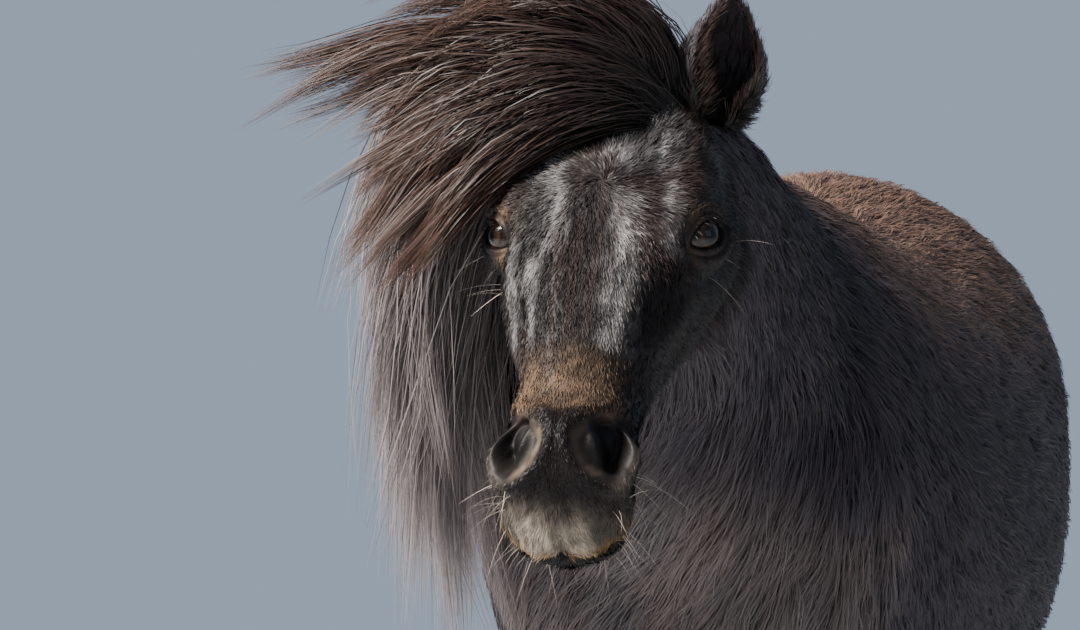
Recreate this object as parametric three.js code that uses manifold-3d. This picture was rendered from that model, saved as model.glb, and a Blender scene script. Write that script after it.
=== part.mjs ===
// A Shetland pony, standing square and looking ahead, at life size in millimetres.
// +Z is up, the pony faces -Y, and its left side is +X. The origin is on the ground, at the middle of its
// box.
// The body is made of lofted sections joined together and parted by thin cuts. The wind blows from the
// pony's left, so that the mane and forelock stream out to its right. Hair is built as flat, tapered locks.
import * as THREE from "three";
import { mergeVertices } from "three/addons/utils/BufferGeometryUtils.js";
import Module from "manifold-3d";

const wasm = await Module();
wasm.setup();

// Driving dimensions
const WITHERS_HEIGHT = 1000;
const BACK_HEIGHT = 962;
const CROUP_HEIGHT = 1002;
const BELLY_HEIGHT = 440;
const BREAST_Y = -452;
const RUMP_Y = 585;
const BARREL_HALF = 262;
const SHOULDER_HALF = 212;
const HIP_HALF = 243;
const HEAD_LENGTH = 417;
const HEAD_PITCH = THREE.MathUtils.degToRad(45);
const POLL = new THREE.Vector3(0, -690, 1010);
const EAR_LENGTH = 102;
const EYE_RADIUS = 19;
const EYE_CENTRE = new THREE.Vector3(75, -128, 8);
const NECK_START_Y = -270;
const HEAD_TURN = THREE.MathUtils.degToRad(1.2);
const HOOF_HEIGHT = 56;
const MANE_LENGTH = 470;
const TAIL_TIP_HEIGHT = 85;
const PART_GAP = 0.3;
const SEED = 20417;

// Small mathematics
const mix = THREE.MathUtils.lerp;
const vec = (x, y, z) => new THREE.Vector3(x, y, z);

// A repeatable stream of numbers from 0 to 1.
function randomStream(seed) {
  let state = seed >>> 0;
  return () => {
    state = (state + 0x6d2b79f5) >>> 0;
    let mixed = Math.imul(state ^ (state >>> 15), state | 1);
    mixed ^= mixed + Math.imul(mixed ^ (mixed >>> 7), mixed | 61);
    return ((mixed ^ (mixed >>> 14)) >>> 0) / 4294967296;
  };
}

// A smooth curve through rows of numbers, read at a place from 0 to 1: uniform Catmull-Rom on each column.
function rowAt(rows, place) {
  const last = rows.length - 1;
  const spot = Math.min(Math.max(place, 0), 1) * last;
  const i = Math.min(Math.floor(spot), last - 1);
  const t = spot - i;
  const before = rows[Math.max(i - 1, 0)];
  const after = rows[Math.min(i + 2, last)];
  return rows[i].map((a, column) => {
    const b = rows[i + 1][column];
    const slopeA = (b - before[column]) / 2;
    const slopeB = (after[column] - a) / 2;
    const t2 = t * t;
    const t3 = t2 * t;
    const fromA = (2 * t3 - 3 * t2 + 1) * a + (t3 - 2 * t2 + t) * slopeA;
    return fromA + (3 * t2 - 2 * t3) * b + (t3 - t2) * slopeB;
  });
}

// A point of a cubic Bezier curve with four control points.
function bezierAt(points, t) {
  const s = 1 - t;
  const weights = [s * s * s, 3 * s * s * t, 3 * s * t * t, t * t * t];
  const found = vec(0, 0, 0);
  points.forEach((point, i) => found.addScaledVector(point, weights[i]));
  return found;
}

// The neck's slight bend to the pony's right: a sideways shift that grows with the square of the way ahead
// of the shoulder, so that the face is turned by HEAD_TURN at the poll.
const BEND = Math.tan(HEAD_TURN) / (2 * (NECK_START_Y - POLL.y));

function bendNeck(position) {
  for (let i = 0; i < position.length; i += 3) {
    const ahead = Math.max(NECK_START_Y - position[i + 1], 0);
    position[i] -= BEND * ahead * ahead;
  }
}

// Solids

// A closed geometry, bent as the neck is, as a solid whose faces point out.
function solidOf(geometry) {
  const bare = geometry.index ? geometry.toNonIndexed() : geometry.clone();
  bare.deleteAttribute("normal");
  bare.deleteAttribute("uv");
  const merged = mergeVertices(bare, 1e-4);
  const position = merged.attributes.position.array;
  bendNeck(position);
  const corners = new Uint32Array(merged.index.array);
  let volume = 0;
  const corner = (i) => vec(position[3 * i], position[3 * i + 1], position[3 * i + 2]);
  for (let i = 0; i < corners.length; i += 3) {
    volume += corner(corners[i]).dot(corner(corners[i + 1]).cross(corner(corners[i + 2])));
  }
  if (volume < 0) {
    for (let i = 0; i < corners.length; i += 3) {
      [corners[i + 1], corners[i + 2]] = [corners[i + 2], corners[i + 1]];
    }
  }
  return new wasm.Manifold(new wasm.Mesh({ numProp: 3, vertProperties: position, triVerts: corners }));
}

// Rings of points, each the same length, skinned into a closed surface with a fan over each end.
function skinRings(rings) {
  const count = rings[0].length;
  const points = rings.flat();
  const faces = [];
  for (let r = 0; r < rings.length - 1; r += 1) {
    for (let i = 0; i < count; i += 1) {
      const a = r * count + i;
      const b = r * count + ((i + 1) % count);
      faces.push(a, b, a + count, b, b + count, a + count);
    }
  }
  for (const [first, turn] of [[0, 1], [(rings.length - 1) * count, 0]]) {
    const centre = vec(0, 0, 0);
    for (let i = 0; i < count; i += 1) centre.addScaledVector(points[first + i], 1 / count);
    const hub = points.push(centre) - 1;
    for (let i = 0; i < count; i += 1) {
      const a = first + i;
      const b = first + ((i + 1) % count);
      faces.push(hub, turn ? b : a, turn ? a : b);
    }
  }
  const geometry = new THREE.BufferGeometry().setFromPoints(points);
  geometry.setIndex(faces);
  return geometry;
}

// One body section. A row holds x of its middle, y and z of its top, y and z of its bottom, half width,
// how high its widest place lies from bottom (0) to top (1), and the squareness of its upper and lower
// half.
function sectionRing(row, sides, grow) {
  const [x, topY, topZ, bottomY, bottomZ, half, wide, squareTop, squareBottom] = row;
  const up = vec(0, topY - bottomY, topZ - bottomZ);
  const height = up.length();
  up.normalize();
  const middle = vec(x, bottomY, bottomZ).addScaledVector(up, height * wide);
  const ring = [];
  for (let i = 0; i < sides; i += 1) {
    const angle = (2 * Math.PI * (i + 0.5)) / sides;
    const across = Math.cos(angle);
    const rise = Math.sin(angle);
    const square = 2 / (rise >= 0 ? squareTop : squareBottom);
    const reach = (rise >= 0 ? height * (1 - wide) : height * wide) + grow;
    const point = middle.clone();
    point.x += (half + grow) * Math.sign(across) * Math.abs(across) ** square;
    point.addScaledVector(up, reach * Math.sign(rise) * Math.abs(rise) ** square);
    ring.push(point);
  }
  return ring;
}

// A loft through section rows, optionally grown by a few tenths so that a neighbour can be cut clear of it.
function loft(rows, sides, steps, grow = 0) {
  const rings = [];
  for (let i = 0; i <= steps; i += 1) rings.push(sectionRing(rowAt(rows, i / steps), sides, grow));
  return skinRings(rings);
}

// An ellipsoid with half sizes along x, y and z, turned about x and then about z.
function ellipsoid(centre, halves, turnX = 0, turnZ = 0, grow = 0, around = 12, down = 8) {
  const geometry = new THREE.SphereGeometry(1, around, down);
  geometry.scale(halves[0] + grow, halves[1] + grow, halves[2] + grow);
  geometry.rotateX(turnX);
  geometry.rotateZ(turnZ);
  geometry.translate(centre.x, centre.y, centre.z);
  return geometry;
}

const union = (solids) => wasm.Manifold.union(solids);

// Only the largest closed surface of a solid, with any sealed hollow filled.
function largest(solid) {
  const parts = solid.decompose();
  return parts.reduce((best, part) => (part.volume() > best.volume() ? part : best));
}

// Body sections, as the rows that sectionRing reads:
// [x, top y, top z, bottom y, bottom z, half width, wide, square top, square bottom]
const TORSO = [
  [0, BREAST_Y, 770, BREAST_Y + 2, 690, 42, 0.5, 2, 2],
  [0, -432, 850, -438, 600, 118, 0.5, 2.1, 2.1],
  [0, -390, 925, -400, 528, 168, 0.47, 2.1, 2.2],
  [0, -320, 972, -330, 484, 199, 0.45, 2, 2.3],
  [0, -235, WITHERS_HEIGHT, -245, 464, SHOULDER_HALF + 6, 0.43, 1.75, 2.3],
  [0, -130, 988, -135, 455, 240, 0.43, 1.9, 2.2],
  [0, 0, BACK_HEIGHT, 0, BELLY_HEIGHT, BARREL_HALF, 0.44, 2.05, 2.2],
  [0, 130, BACK_HEIGHT, 130, 446, BARREL_HALF + 2, 0.44, 2.0, 2.2],
  [0, 250, 985, 250, 470, 254, 0.47, 1.95, 2.2],
  [0, 350, CROUP_HEIGHT, 345, 508, HIP_HALF, 0.5, 1.9, 2.2],
  [0, 440, 992, 435, 548, 226, 0.5, 2, 2.2],
  [0, 520, 950, 515, 590, 188, 0.52, 2.2, 2.2],
  [0, 568, 885, 565, 655, 124, 0.5, 2.1, 2.1],
  [0, RUMP_Y, 810, RUMP_Y, 735, 48, 0.5, 2, 2],
];

const NECK = [
  [0, -170, 985, -380, 560, 150, 0.45, 2, 2.2],
  [0, -270, 1003, -440, 620, 146, 0.45, 1.9, 2.2],
  [0, -360, 1022, -496, 690, 130, 0.45, 1.9, 2.2],
  [0, -450, 1042, -548, 752, 114, 0.46, 2, 2.2],
  [0, -540, 1056, -600, 808, 101, 0.47, 2, 2.2],
  [0, -615, 1058, -645, 850, 91, 0.48, 2, 2.2],
  [0, -680, 1044, -690, 880, 80, 0.5, 2, 2.1],
  [0, -730, 1010, -730, 905, 60, 0.5, 2, 2],
];

// Head sections in the head's own frame: its origin is the poll, -y runs down the face and z out of the
// forehead.
const HEAD = [
  [0, 44, 4, 0, -62, 44, 0.5, 2, 2],
  [0, 20, 30, -18, -100, 68, 0.58, 2.2, 2.2],
  [0, -15, 44, -52, -126, 82, 0.6, 2.4, 2.2],
  [0, -60, 54, -92, -132, 89, 0.62, 2.5, 2.2],
  [0, -110, 58, -138, -122, 90, 0.63, 2.6, 2.2],
  [0, -165, 54, -186, -104, 79, 0.6, 2.5, 2.2],
  [0, -222, 46, -234, -86, 64, 0.56, 2.4, 2.3],
  [0, -280, 38, -284, -76, 51, 0.53, 2.3, 2.3],
  [0, -325, 34, -328, -78, 49, 0.53, 2.3, 2.3],
  [0, -362, 31, -362, -88, 52, 0.54, 2.3, 2.3],
  [0, -390, 16, -386, -92, 50, 0.5, 2.2, 2.3],
  [0, -408, -12, -402, -82, 37, 0.5, 2.1, 2.1],
  [0, -HEAD_LENGTH, -34, -410, -62, 15, 0.5, 2, 2],
];

// Leg sections: front y and z, then back y and z, on the left side.
const FORELEG = [
  [112, -390, 690, -230, 670, 46, 0.5, 2, 2],
  [118, -398, 612, -224, 580, 58, 0.5, 2, 2.1],
  [120, -372, 535, -236, 508, 53, 0.5, 2, 2.1],
  [114, -350, 440, -258, 428, 43, 0.5, 2, 2.1],
  [111, -338, 358, -268, 350, 34, 0.5, 2, 2],
  [110, -341, 305, -265, 300, 38, 0.5, 2.3, 2],
  [109, -330, 254, -268, 250, 29, 0.5, 2.2, 2],
  [108, -325, 200, -270, 197, 24, 0.5, 2.1, 2],
  [107, -328, 148, -264, 142, 28, 0.5, 2.1, 2],
  [106, -338, 116, -260, 106, 34, 0.5, 2.1, 2],
  [106, -350, 88, -286, 72, 28, 0.5, 2, 2],
  [106, -374, HOOF_HEIGHT + 4, -290, HOOF_HEIGHT - 8, 40, 0.5, 2, 2],
];

const HINDLEG = [
  [124, 290, 760, 520, 745, 70, 0.5, 2, 2.1],
  [128, 264, 672, 536, 665, 84, 0.5, 2, 2.1],
  [128, 266, 585, 524, 610, 80, 0.5, 2, 2.1],
  [121, 315, 502, 500, 535, 56, 0.5, 2, 2.1],
  [114, 376, 440, 510, 470, 43, 0.5, 2, 2.1],
  [111, 426, 380, 534, 408, 37, 0.5, 2, 1.8],
  [110, 434, 330, 527, 345, 35, 0.5, 2.2, 2],
  [109, 441, 270, 509, 276, 28, 0.5, 2.1, 2],
  [108, 446, 205, 503, 206, 25, 0.5, 2.1, 2],
  [107, 443, 150, 505, 145, 29, 0.5, 2.1, 2],
  [107, 433, 118, 510, 108, 34, 0.5, 2.1, 2],
  [107, 420, 90, 482, 74, 28, 0.5, 2, 2],
  [107, 396, HOOF_HEIGHT + 4, 478, HOOF_HEIGHT - 8, 40, 0.5, 2, 2],
];

// How far each foot stands ahead of (-) or behind (+) a square stance, and where the stride starts.
const STRIDE_TOP = 560;
const STRIDES = { foreleg_left: 22, foreleg_right: -34, hindleg_left: 40, hindleg_right: -12 };

// Places a leg's rows on one side (+1 left, -1 right), with its stride growing from elbow or stifle down.
function legRows(rows, side, stride) {
  const shift = (z) => stride * Math.min(Math.max(1 - z / STRIDE_TOP, 0), 1);
  return rows.map(([x, frontY, frontZ, backY, backZ, ...rest]) => [
    side * x,
    frontY + shift(frontZ),
    frontZ,
    backY + shift(backZ),
    backZ,
    ...rest,
  ]);
}

// The frame of the head, and a geometry made in it and moved to the pony's frame.
const headGroup = new THREE.Group();
headGroup.position.copy(POLL);
headGroup.rotation.x = HEAD_PITCH;
headGroup.updateMatrixWorld(true);
const onHead = (geometry) => geometry.applyMatrix4(headGroup.matrixWorld);
const headPoint = (x, y, z) => vec(x, y, z).applyMatrix4(headGroup.matrixWorld);

// A swell of the flesh is an ellipsoid: centre and half sizes on the left side, then turns about x and z.
// The shoulder blade leans back at its top and the upper arm leans forward at its top.
const TRUNK_SWELLS = [
  { name: "shoulder blade", centre: [112, -262, 752], halves: [98, 118, 215], turnX: -0.3, turnZ: 0 },
  { name: "upper arm", centre: [98, -322, 640], halves: [88, 96, 128], turnX: 0.35, turnZ: 0 },
  { name: "haunch", centre: [126, 395, 725], halves: [110, 158, 195], turnX: -0.12, turnZ: 0 },
];

// One swell on one side of the body (+1 left, -1 right).
function swellGeometry({ centre, halves, turnX, turnZ }, side, grow) {
  return ellipsoid(vec(side * centre[0], centre[1], centre[2]), halves, turnX, side * turnZ, grow);
}

// Torso: the trunk with the swell of each shoulder blade, upper arm and haunch.
const TORSO_SIDES = 26;
const TORSO_STEPS = 20;

function torsoSolid(grow = 0) {
  const parts = [solidOf(loft(TORSO, TORSO_SIDES, TORSO_STEPS, grow))];
  for (const side of [-1, 1]) {
    for (const swell of TRUNK_SWELLS) parts.push(solidOf(swellGeometry(swell, side, grow)));
  }
  return union(parts);
}

const NECK_SIDES = 22;
const NECK_STEPS = 11;
const neckSolid = (grow = 0) => solidOf(loft(NECK, NECK_SIDES, NECK_STEPS, grow));

// Swells of the head. The nostril is a flared wing with a deep, slanting hollow that opens forward and out.
const HEAD_SWELLS = [
  { name: "brow", centre: [50, -108, 22], halves: [38, 56, 27], turnX: 0.08, turnZ: -0.1 },
  { name: "cheek", centre: [52, -72, -66], halves: [27, 66, 58], turnX: 0.2, turnZ: 0 },
  { name: "nostril wing", centre: [41, -366, 14], halves: [25, 22, 30], turnX: -0.15, turnZ: 0.42 },
];
const NOSTRIL_HOLLOW = { centre: [42, -387, 22], halves: [18, 36, 22], turnX: -0.3, turnZ: 0.42 };
const CHIN = { centre: [0, -372, -86], halves: [30, 26, 19], turnX: 0, turnZ: 0 };
const UPPER_LIP = { centre: [0, -396, -34], halves: [33, 22, 24], turnX: 0, turnZ: 0 };

// Lids: a flattened ring round the eye, turned to face outward, a little down the face and up.
const LID = { ring: EYE_RADIUS * 0.86, thick: 5.4, long: 1.12, low: 0.84, out: 8 };
const LID_TURNS = { slant: 0.25, forward: 0.22, up: 0.3 };

function lidGeometry(side, grow) {
  const lid = new THREE.TorusGeometry(LID.ring, LID.thick + grow, 7, 16);
  lid.scale(LID.long, LID.low, 1);
  lid.rotateY(Math.PI / 2);
  lid.rotateX(LID_TURNS.slant);
  lid.rotateY(-side * LID_TURNS.up);
  lid.rotateZ(-side * LID_TURNS.forward);
  lid.translate(side * (EYE_CENTRE.x + LID.out), EYE_CENTRE.y - 2, EYE_CENTRE.z + 2);
  return lid;
}

// Head: skull and jaw, brows, cheeks, nostril wings, chin, upper lip and lids, before the cuts.
const HEAD_SIDES = 22;
const HEAD_STEPS = 19;

function headSolid(grow = 0) {
  const parts = [solidOf(onHead(loft(HEAD, HEAD_SIDES, HEAD_STEPS, grow)))];
  const add = (geometry) => parts.push(solidOf(onHead(geometry)));
  for (const side of [-1, 1]) {
    for (const swell of HEAD_SWELLS) add(swellGeometry(swell, side, grow));
    add(lidGeometry(side, grow));
  }
  add(swellGeometry(CHIN, 1, grow));
  add(swellGeometry(UPPER_LIP, 1, grow));
  return union(parts);
}

const nostrilHollows = () =>
  union([-1, 1].map((side) => solidOf(onHead(swellGeometry(NOSTRIL_HOLLOW, side, 0)))));

// Mouth line: a thin slot from the front of the lips back to the corners.
const MOUTH_CORNER = vec(0, -318, -42);
const MOUTH_FRONT = vec(0, -430, -64);
const MOUTH_SLOT = 2.4;
const MOUTH_WIDTH = 150;

function mouthSlot() {
  const run = MOUTH_FRONT.clone().sub(MOUTH_CORNER);
  const slot = new THREE.BoxGeometry(MOUTH_WIDTH, run.length(), MOUTH_SLOT);
  slot.rotateX(Math.atan2(-run.z, -run.y));
  slot.translate(0, (MOUTH_CORNER.y + MOUTH_FRONT.y) / 2, (MOUTH_CORNER.z + MOUTH_FRONT.z) / 2);
  return solidOf(onHead(slot));
}

const eyeSphere = (side, grow = 0) => {
  const ball = new THREE.SphereGeometry(EYE_RADIUS + grow, 14, 8);
  ball.translate(side * EYE_CENTRE.x, EYE_CENTRE.y, EYE_CENTRE.z);
  return solidOf(onHead(ball));
};

// Ears: a cupped leaf, thin walled, opening forward and a little out, with its point leaning in.
const EAR_ROOT = vec(71, 24, 12);
const EAR_WALL = 4.5;
const EAR_SIDES = 8;
const EAR_STEPS = 6;
const EAR = [
  [26, 0.45],
  [33, 0.62],
  [38, 0.85],
  [36, 1.0],
  [28, 1.1],
  [16, 1.15],
  [3.5, 1.15],
];

function earGeometry(side, grow = 0) {
  const root = headPoint(side * EAR_ROOT.x, EAR_ROOT.y, EAR_ROOT.z);
  const rise = vec(side * 0.3, -0.06, 1).normalize();
  const open = vec(side * 0.42, -1, 0.05).projectOnPlane(rise).normalize();
  const across = new THREE.Vector3().crossVectors(rise, open);
  const rings = [];
  for (let step = 0; step <= EAR_STEPS; step += 1) {
    const t = step / EAR_STEPS;
    const [radius, gapAngle] = rowAt(EAR, t);
    const wall = Math.min(EAR_WALL, radius * 0.55) + grow;
    const centre = root.clone().addScaledVector(rise, (EAR_LENGTH + 20) * t - 20);
    centre.x -= side * 13 * t * t;
    const arc = (reach, turn) => {
      const angle = mix(gapAngle, 2 * Math.PI - gapAngle, turn);
      return centre
        .clone()
        .addScaledVector(open, reach * 0.82 * Math.cos(angle))
        .addScaledVector(across, reach * Math.sin(angle));
    };
    const outer = [];
    const inner = [];
    for (let i = 0; i <= EAR_SIDES; i += 1) {
      outer.push(arc(radius + grow, i / EAR_SIDES));
      inner.push(arc(radius - wall, 1 - i / EAR_SIDES));
    }
    rings.push([...outer, ...inner]);
  }
  return skinStrip(rings);
}

// Rings whose second half runs back along the first, skinned and closed at each end by a strip between
// the halves.
function skinStrip(rings) {
  const count = rings[0].length;
  const half = count / 2;
  const points = rings.flat();
  const faces = [];
  for (let r = 0; r < rings.length - 1; r += 1) {
    for (let i = 0; i < count; i += 1) {
      const a = r * count + i;
      const b = r * count + ((i + 1) % count);
      faces.push(a, b, a + count, b, b + count, a + count);
    }
  }
  for (const [first, turn] of [[0, true], [(rings.length - 1) * count, false]]) {
    for (let i = 0; i < half - 1; i += 1) {
      const [a, b, c, d] = [i, i + 1, count - 2 - i, count - 1 - i].map((n) => first + n);
      if (turn) faces.push(b, a, c, c, a, d);
      else faces.push(a, b, c, a, c, d);
    }
  }
  const geometry = new THREE.BufferGeometry().setFromPoints(points);
  geometry.setIndex(faces);
  return geometry;
}

// Hair

const LOCK_STEPS = 4;

// A flat, tapered lock along a curve: a three-sided section, wide across the lie of the hair, with a low
// ridge outside.
function lockGeometry(controls, width, thickness, out, steps = LOCK_STEPS) {
  const rings = [];
  let facing = out.clone();
  for (let step = 0; step < steps; step += 1) {
    const t = step / steps;
    const here = bezierAt(controls, t);
    const along = bezierAt(controls, t + 0.02).sub(here).normalize();
    const side = new THREE.Vector3().crossVectors(along, facing).normalize();
    facing = new THREE.Vector3().crossVectors(side, along).normalize();
    const reach = (width / 2) * (0.62 + 0.75 * t) * (1 - t ** 2.2);
    const ridge = (thickness * (1 - 0.7 * t)) / 2;
    rings.push([
      here.clone().addScaledVector(side, reach).addScaledVector(facing, -ridge),
      here.clone().addScaledVector(facing, ridge),
      here.clone().addScaledVector(side, -reach).addScaledVector(facing, -ridge),
    ]);
  }
  const points = rings.flat();
  const faces = [0, 1, 2];
  for (let r = 0; r < rings.length - 1; r += 1) {
    for (let i = 0; i < 3; i += 1) {
      const a = 3 * r + i;
      const b = 3 * r + ((i + 1) % 3);
      faces.push(a, a + 3, b, b, a + 3, b + 3);
    }
  }
  const tip = points.push(bezierAt(controls, 1)) - 1;
  const last = 3 * (rings.length - 1);
  for (let i = 0; i < 3; i += 1) faces.push(last + i, tip, last + ((i + 1) % 3));
  const geometry = new THREE.BufferGeometry().setFromPoints(points);
  geometry.setIndex(faces);
  return geometry;
}

// Control points between two hanging ways of the same lock, as offsets from its root.
const blendOffsets = (root, low, high, share) =>
  low.map((offset, i) => root.clone().add(offset.clone().lerp(high[i], share)));

// The crest of the neck from poll (0) to withers (1), and the neck's half width there.
const CREST_SPAN = [0.86, 0.17];
function crestAt(place) {
  const row = rowAt(NECK, mix(CREST_SPAN[0], CREST_SPAN[1], place));
  return { top: vec(0, row[1], row[2]), half: row[5] };
}

// Mane: from hanging along the neck's right side (lift 0) to blown out and up (lift 1).
function maneControls(place, lift, length, jitter) {
  const { top, half } = crestAt(place);
  const root = top.clone().add(vec(0, 0, -9));
  const drop = MANE_LENGTH * length;
  const hanging = [
    vec(0, 0, 0),
    vec(-half - 42, -10, 40),
    vec(-half - 96, -14, -0.36 * drop),
    vec(-half - 48 - 44 * jitter, 10 + 26 * jitter, -drop),
  ];
  const blown = [
    vec(0, 0, 0),
    vec(-88, -12, 78),
    vec(-236, -34, 40),
    vec(-0.66 * drop - 20, -26 + 30 * jitter, -0.24 * drop + 40 * jitter),
  ];
  return blendOffsets(root, hanging, blown, lift);
}

const MANE_LAYERS = [
  { lift: 0, count: 10, length: 1, width: 80 },
  { lift: 0.12, count: 9, length: 1.04, width: 72 },
  { lift: 0.34, count: 7, length: 0.98, width: 58 },
  { lift: 0.72, count: 5, length: 0.9, width: 44 },
];
const MANE_THICKNESS = 17;

function maneLocks() {
  const random = randomStream(SEED);
  const locks = [];
  for (const { lift, count, length, width } of MANE_LAYERS) {
    for (let i = 0; i < count; i += 1) {
      const place = (i + 0.5) / count + 0.02 * (random() - 0.5);
      const lifted = lift + 0.16 * random();
      const reach = length * mix(0.86, 1.06, random());
      const controls = maneControls(place, lifted, reach, 2 * random() - 1);
      const wide = width * mix(0.85, 1.2, random());
      locks.push(solidOf(lockGeometry(controls, wide, MANE_THICKNESS, vec(-0.6, -0.55, 0.6))));
    }
  }
  return locks;
}

// Forelock: from its root between the ears, over the right brow (lift 0) or out level with the ears
// (lift 1).
function forelockControls(across, back, lift, length, jitter) {
  const root = headPoint(across, -back, 40);
  const low = [
    vec(0, 0, 0),
    vec(-42, -48, 22),
    vec(-112 - 0.5 * across, -74, -62),
    vec(-186 * length - 0.5 * across, -52, -158 * length + 20 * jitter),
  ];
  const high = [
    vec(0, 0, 0),
    vec(-44, -20, 74),
    vec(-170, -34, 78),
    vec(-300 * length, -20 + 20 * jitter, 26 + 34 * jitter),
  ];
  return blendOffsets(root, low, high, lift);
}

const FORELOCK_ROWS = 3;
const FORELOCK_PER_ROW = 6;
const FORELOCK_THICKNESS = 9;

function forelockLocks() {
  const random = randomStream(SEED + 1);
  const locks = [];
  for (let row = 0; row < FORELOCK_ROWS; row += 1) {
    for (let i = 0; i < FORELOCK_PER_ROW; i += 1) {
      const share = (i + random()) / FORELOCK_PER_ROW;
      const across = mix(34, -30, share) * (row === 0 ? 1 : 0.8);
      const lift = mix(row * 0.32, row * 0.32 + 0.34, random());
      const back = mix(34, 2, row / (FORELOCK_ROWS - 1));
      const controls = forelockControls(across, back, lift, mix(0.72, 1.17, random()), 2 * random() - 1);
      const width = mix(34, 46, random());
      locks.push(solidOf(lockGeometry(controls, width, FORELOCK_THICKNESS, vec(-0.2, -0.8, 0.6))));
    }
  }
  return locks;
}

// Tail: a tapering dock, with locks from all round it hanging nearly to the ground.
const DOCK_ROOT = vec(0, 560, 905);
const DOCK = [DOCK_ROOT, vec(0, 628, 910), vec(0, 655, 820), vec(0, 660, 700)];
const DOCK_RADII = [34, 11];
const DOCK_SIDES = 10;
const DOCK_STEPS = 8;
const TAIL_LOCKS = 20;
const TAIL_THICKNESS = 15;
const GOLDEN_TURN = Math.PI * (3 - Math.sqrt(5));

function tailSolids() {
  const random = randomStream(SEED + 2);
  const rings = [];
  for (let step = 0; step <= DOCK_STEPS; step += 1) {
    const t = step / DOCK_STEPS;
    const radius = mix(DOCK_RADII[0], DOCK_RADII[1], t);
    const here = bezierAt(DOCK, t);
    const along = bezierAt(DOCK, Math.min(t + 0.02, 1.02)).sub(here).normalize();
    const up = new THREE.Vector3().crossVectors(vec(1, 0, 0), along);
    const ring = [];
    for (let i = 0; i < DOCK_SIDES; i += 1) {
      const angle = (2 * Math.PI * i) / DOCK_SIDES;
      const point = here.clone().add(vec(radius * Math.cos(angle), 0, 0));
      ring.push(point.addScaledVector(up, radius * Math.sin(angle)));
    }
    rings.push(ring);
  }
  const solids = [solidOf(skinRings(rings))];
  for (let i = 0; i < TAIL_LOCKS; i += 1) {
    const share = (i + 0.5) / TAIL_LOCKS;
    const rooted = mix(0.3, 0.98, share);
    const angle = i * GOLDEN_TURN;
    const turned = vec(Math.sin(angle), -Math.cos(angle), 0);
    const root = bezierAt(DOCK, rooted);
    const swell = mix(54, 24, share) * mix(0.75, 1.1, random());
    const tipHeight = mix(TAIL_TIP_HEIGHT, 330, random() ** 2.2);
    const controls = [
      root,
      root.clone().add(vec(turned.x * swell, 18 + Math.max(turned.y, -0.4) * swell, -26)),
      vec(turned.x * swell * 1.7, 668 + Math.max(turned.y, -0.7) * swell, mix(root.z, tipHeight, 0.45)),
      vec(turned.x * swell * 0.9, 650 + turned.y * swell * 0.7, tipHeight),
    ];
    const width = mix(40, 56, random());
    const facing = vec(turned.x, turned.y + 0.01, 0.1);
    solids.push(solidOf(lockGeometry(controls, width, TAIL_THICKNESS, facing)));
  }
  return solids;
}

// Feather: a few short locks at the back of each fetlock.
const FEATHER_LOCKS = 4;

function featherLocks(rows, random) {
  const [x, , , backY, backZ, half] = rows[rows.length - 3];
  const locks = [];
  for (let i = 0; i < FEATHER_LOCKS; i += 1) {
    const turn = mix(-1, 1, i / (FEATHER_LOCKS - 1));
    const root = vec(x + turn * half * 0.5, backY - 12 - 10 * Math.abs(turn), backZ + 14);
    const controls = [
      root,
      root.clone().add(vec(turn * 12, 16, -6)),
      root.clone().add(vec(turn * 18, 22, -28)),
      root.clone().add(vec(turn * 20, 16, -mix(44, 56, random()))),
    ];
    locks.push(solidOf(lockGeometry(controls, 18, 7, vec(turn * 0.5, 1, 0.2), 3)));
  }
  return locks;
}

// Legs and hooves

const LEG_SIDES = 12;
const LEG_STEPS = 17;

function hoofSolid(rows) {
  const last = rows[rows.length - 1];
  const lowered = [...last];
  lowered[2] -= PART_GAP;
  lowered[4] -= PART_GAP;
  const [x, frontY, , backY, , half, ...rest] = last;
  const wall = (height, spread) => [
    x,
    frontY - 0.42 * (HOOF_HEIGHT - height) - spread,
    height,
    backY - 0.04 * (HOOF_HEIGHT - height),
    height,
    half + 0.1 * (HOOF_HEIGHT - height) + spread,
    ...rest,
  ];
  const rings = [lowered, wall(0.55 * HOOF_HEIGHT, 1), wall(3, 0), wall(0, -2)];
  return solidOf(skinRings(rings.map((row) => sectionRing(row, 16, 0))));
}

// Materials
const paint = (color, roughness) => new THREE.MeshStandardMaterial({ color, roughness, metalness: 0 });
const coat = paint(0x2b211d, 0.6);
const eyeGloss = paint(0x1c1210, 0.08);
const horn = paint(0x37302c, 0.5);

// Assembly

// Plane between neck and torso, from behind the breast to the withers, and between head and neck.
const planeThrough = (highY, highZ, lowY, lowZ) => {
  const normal = vec(0, -(highZ - lowZ), highY - lowY).normalize();
  return { normal, offset: normal.dot(vec(0, highY, highZ)) };
};
const NECK_BASE = planeThrough(-300, 1010, -468, 705);
const throat = headPoint(0, -8, -100);
const nape = headPoint(0, 34, 40);
const HEAD_BASE = planeThrough(nape.y, nape.z, throat.y, throat.z);
const ahead = (solid, plane, gap = 0) => solid.trimByPlane(plane.normal.toArray(), plane.offset + gap / 2);
const behind = (solid, plane, gap = 0) =>
  solid.trimByPlane(plane.normal.clone().negate().toArray(), -plane.offset + gap / 2);

// The whole of the flesh without legs, ears and hair, grown a little where it cuts a neighbour clear.
const fleshSolid = (grow = 0) => union([torsoSolid(grow), neckSolid(grow), headSolid(grow)]);

const flesh = fleshSolid();
const fleshGrown = fleshSolid(PART_GAP);
const sockets = union([eyeSphere(-1, PART_GAP), eyeSphere(1, PART_GAP)]);
const earsGrown = union([solidOf(earGeometry(-1, PART_GAP)), solidOf(earGeometry(1, PART_GAP))]);
const headGrown = ahead(fleshGrown, HEAD_BASE);
const torsoGrown = behind(fleshGrown, NECK_BASE);

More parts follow.
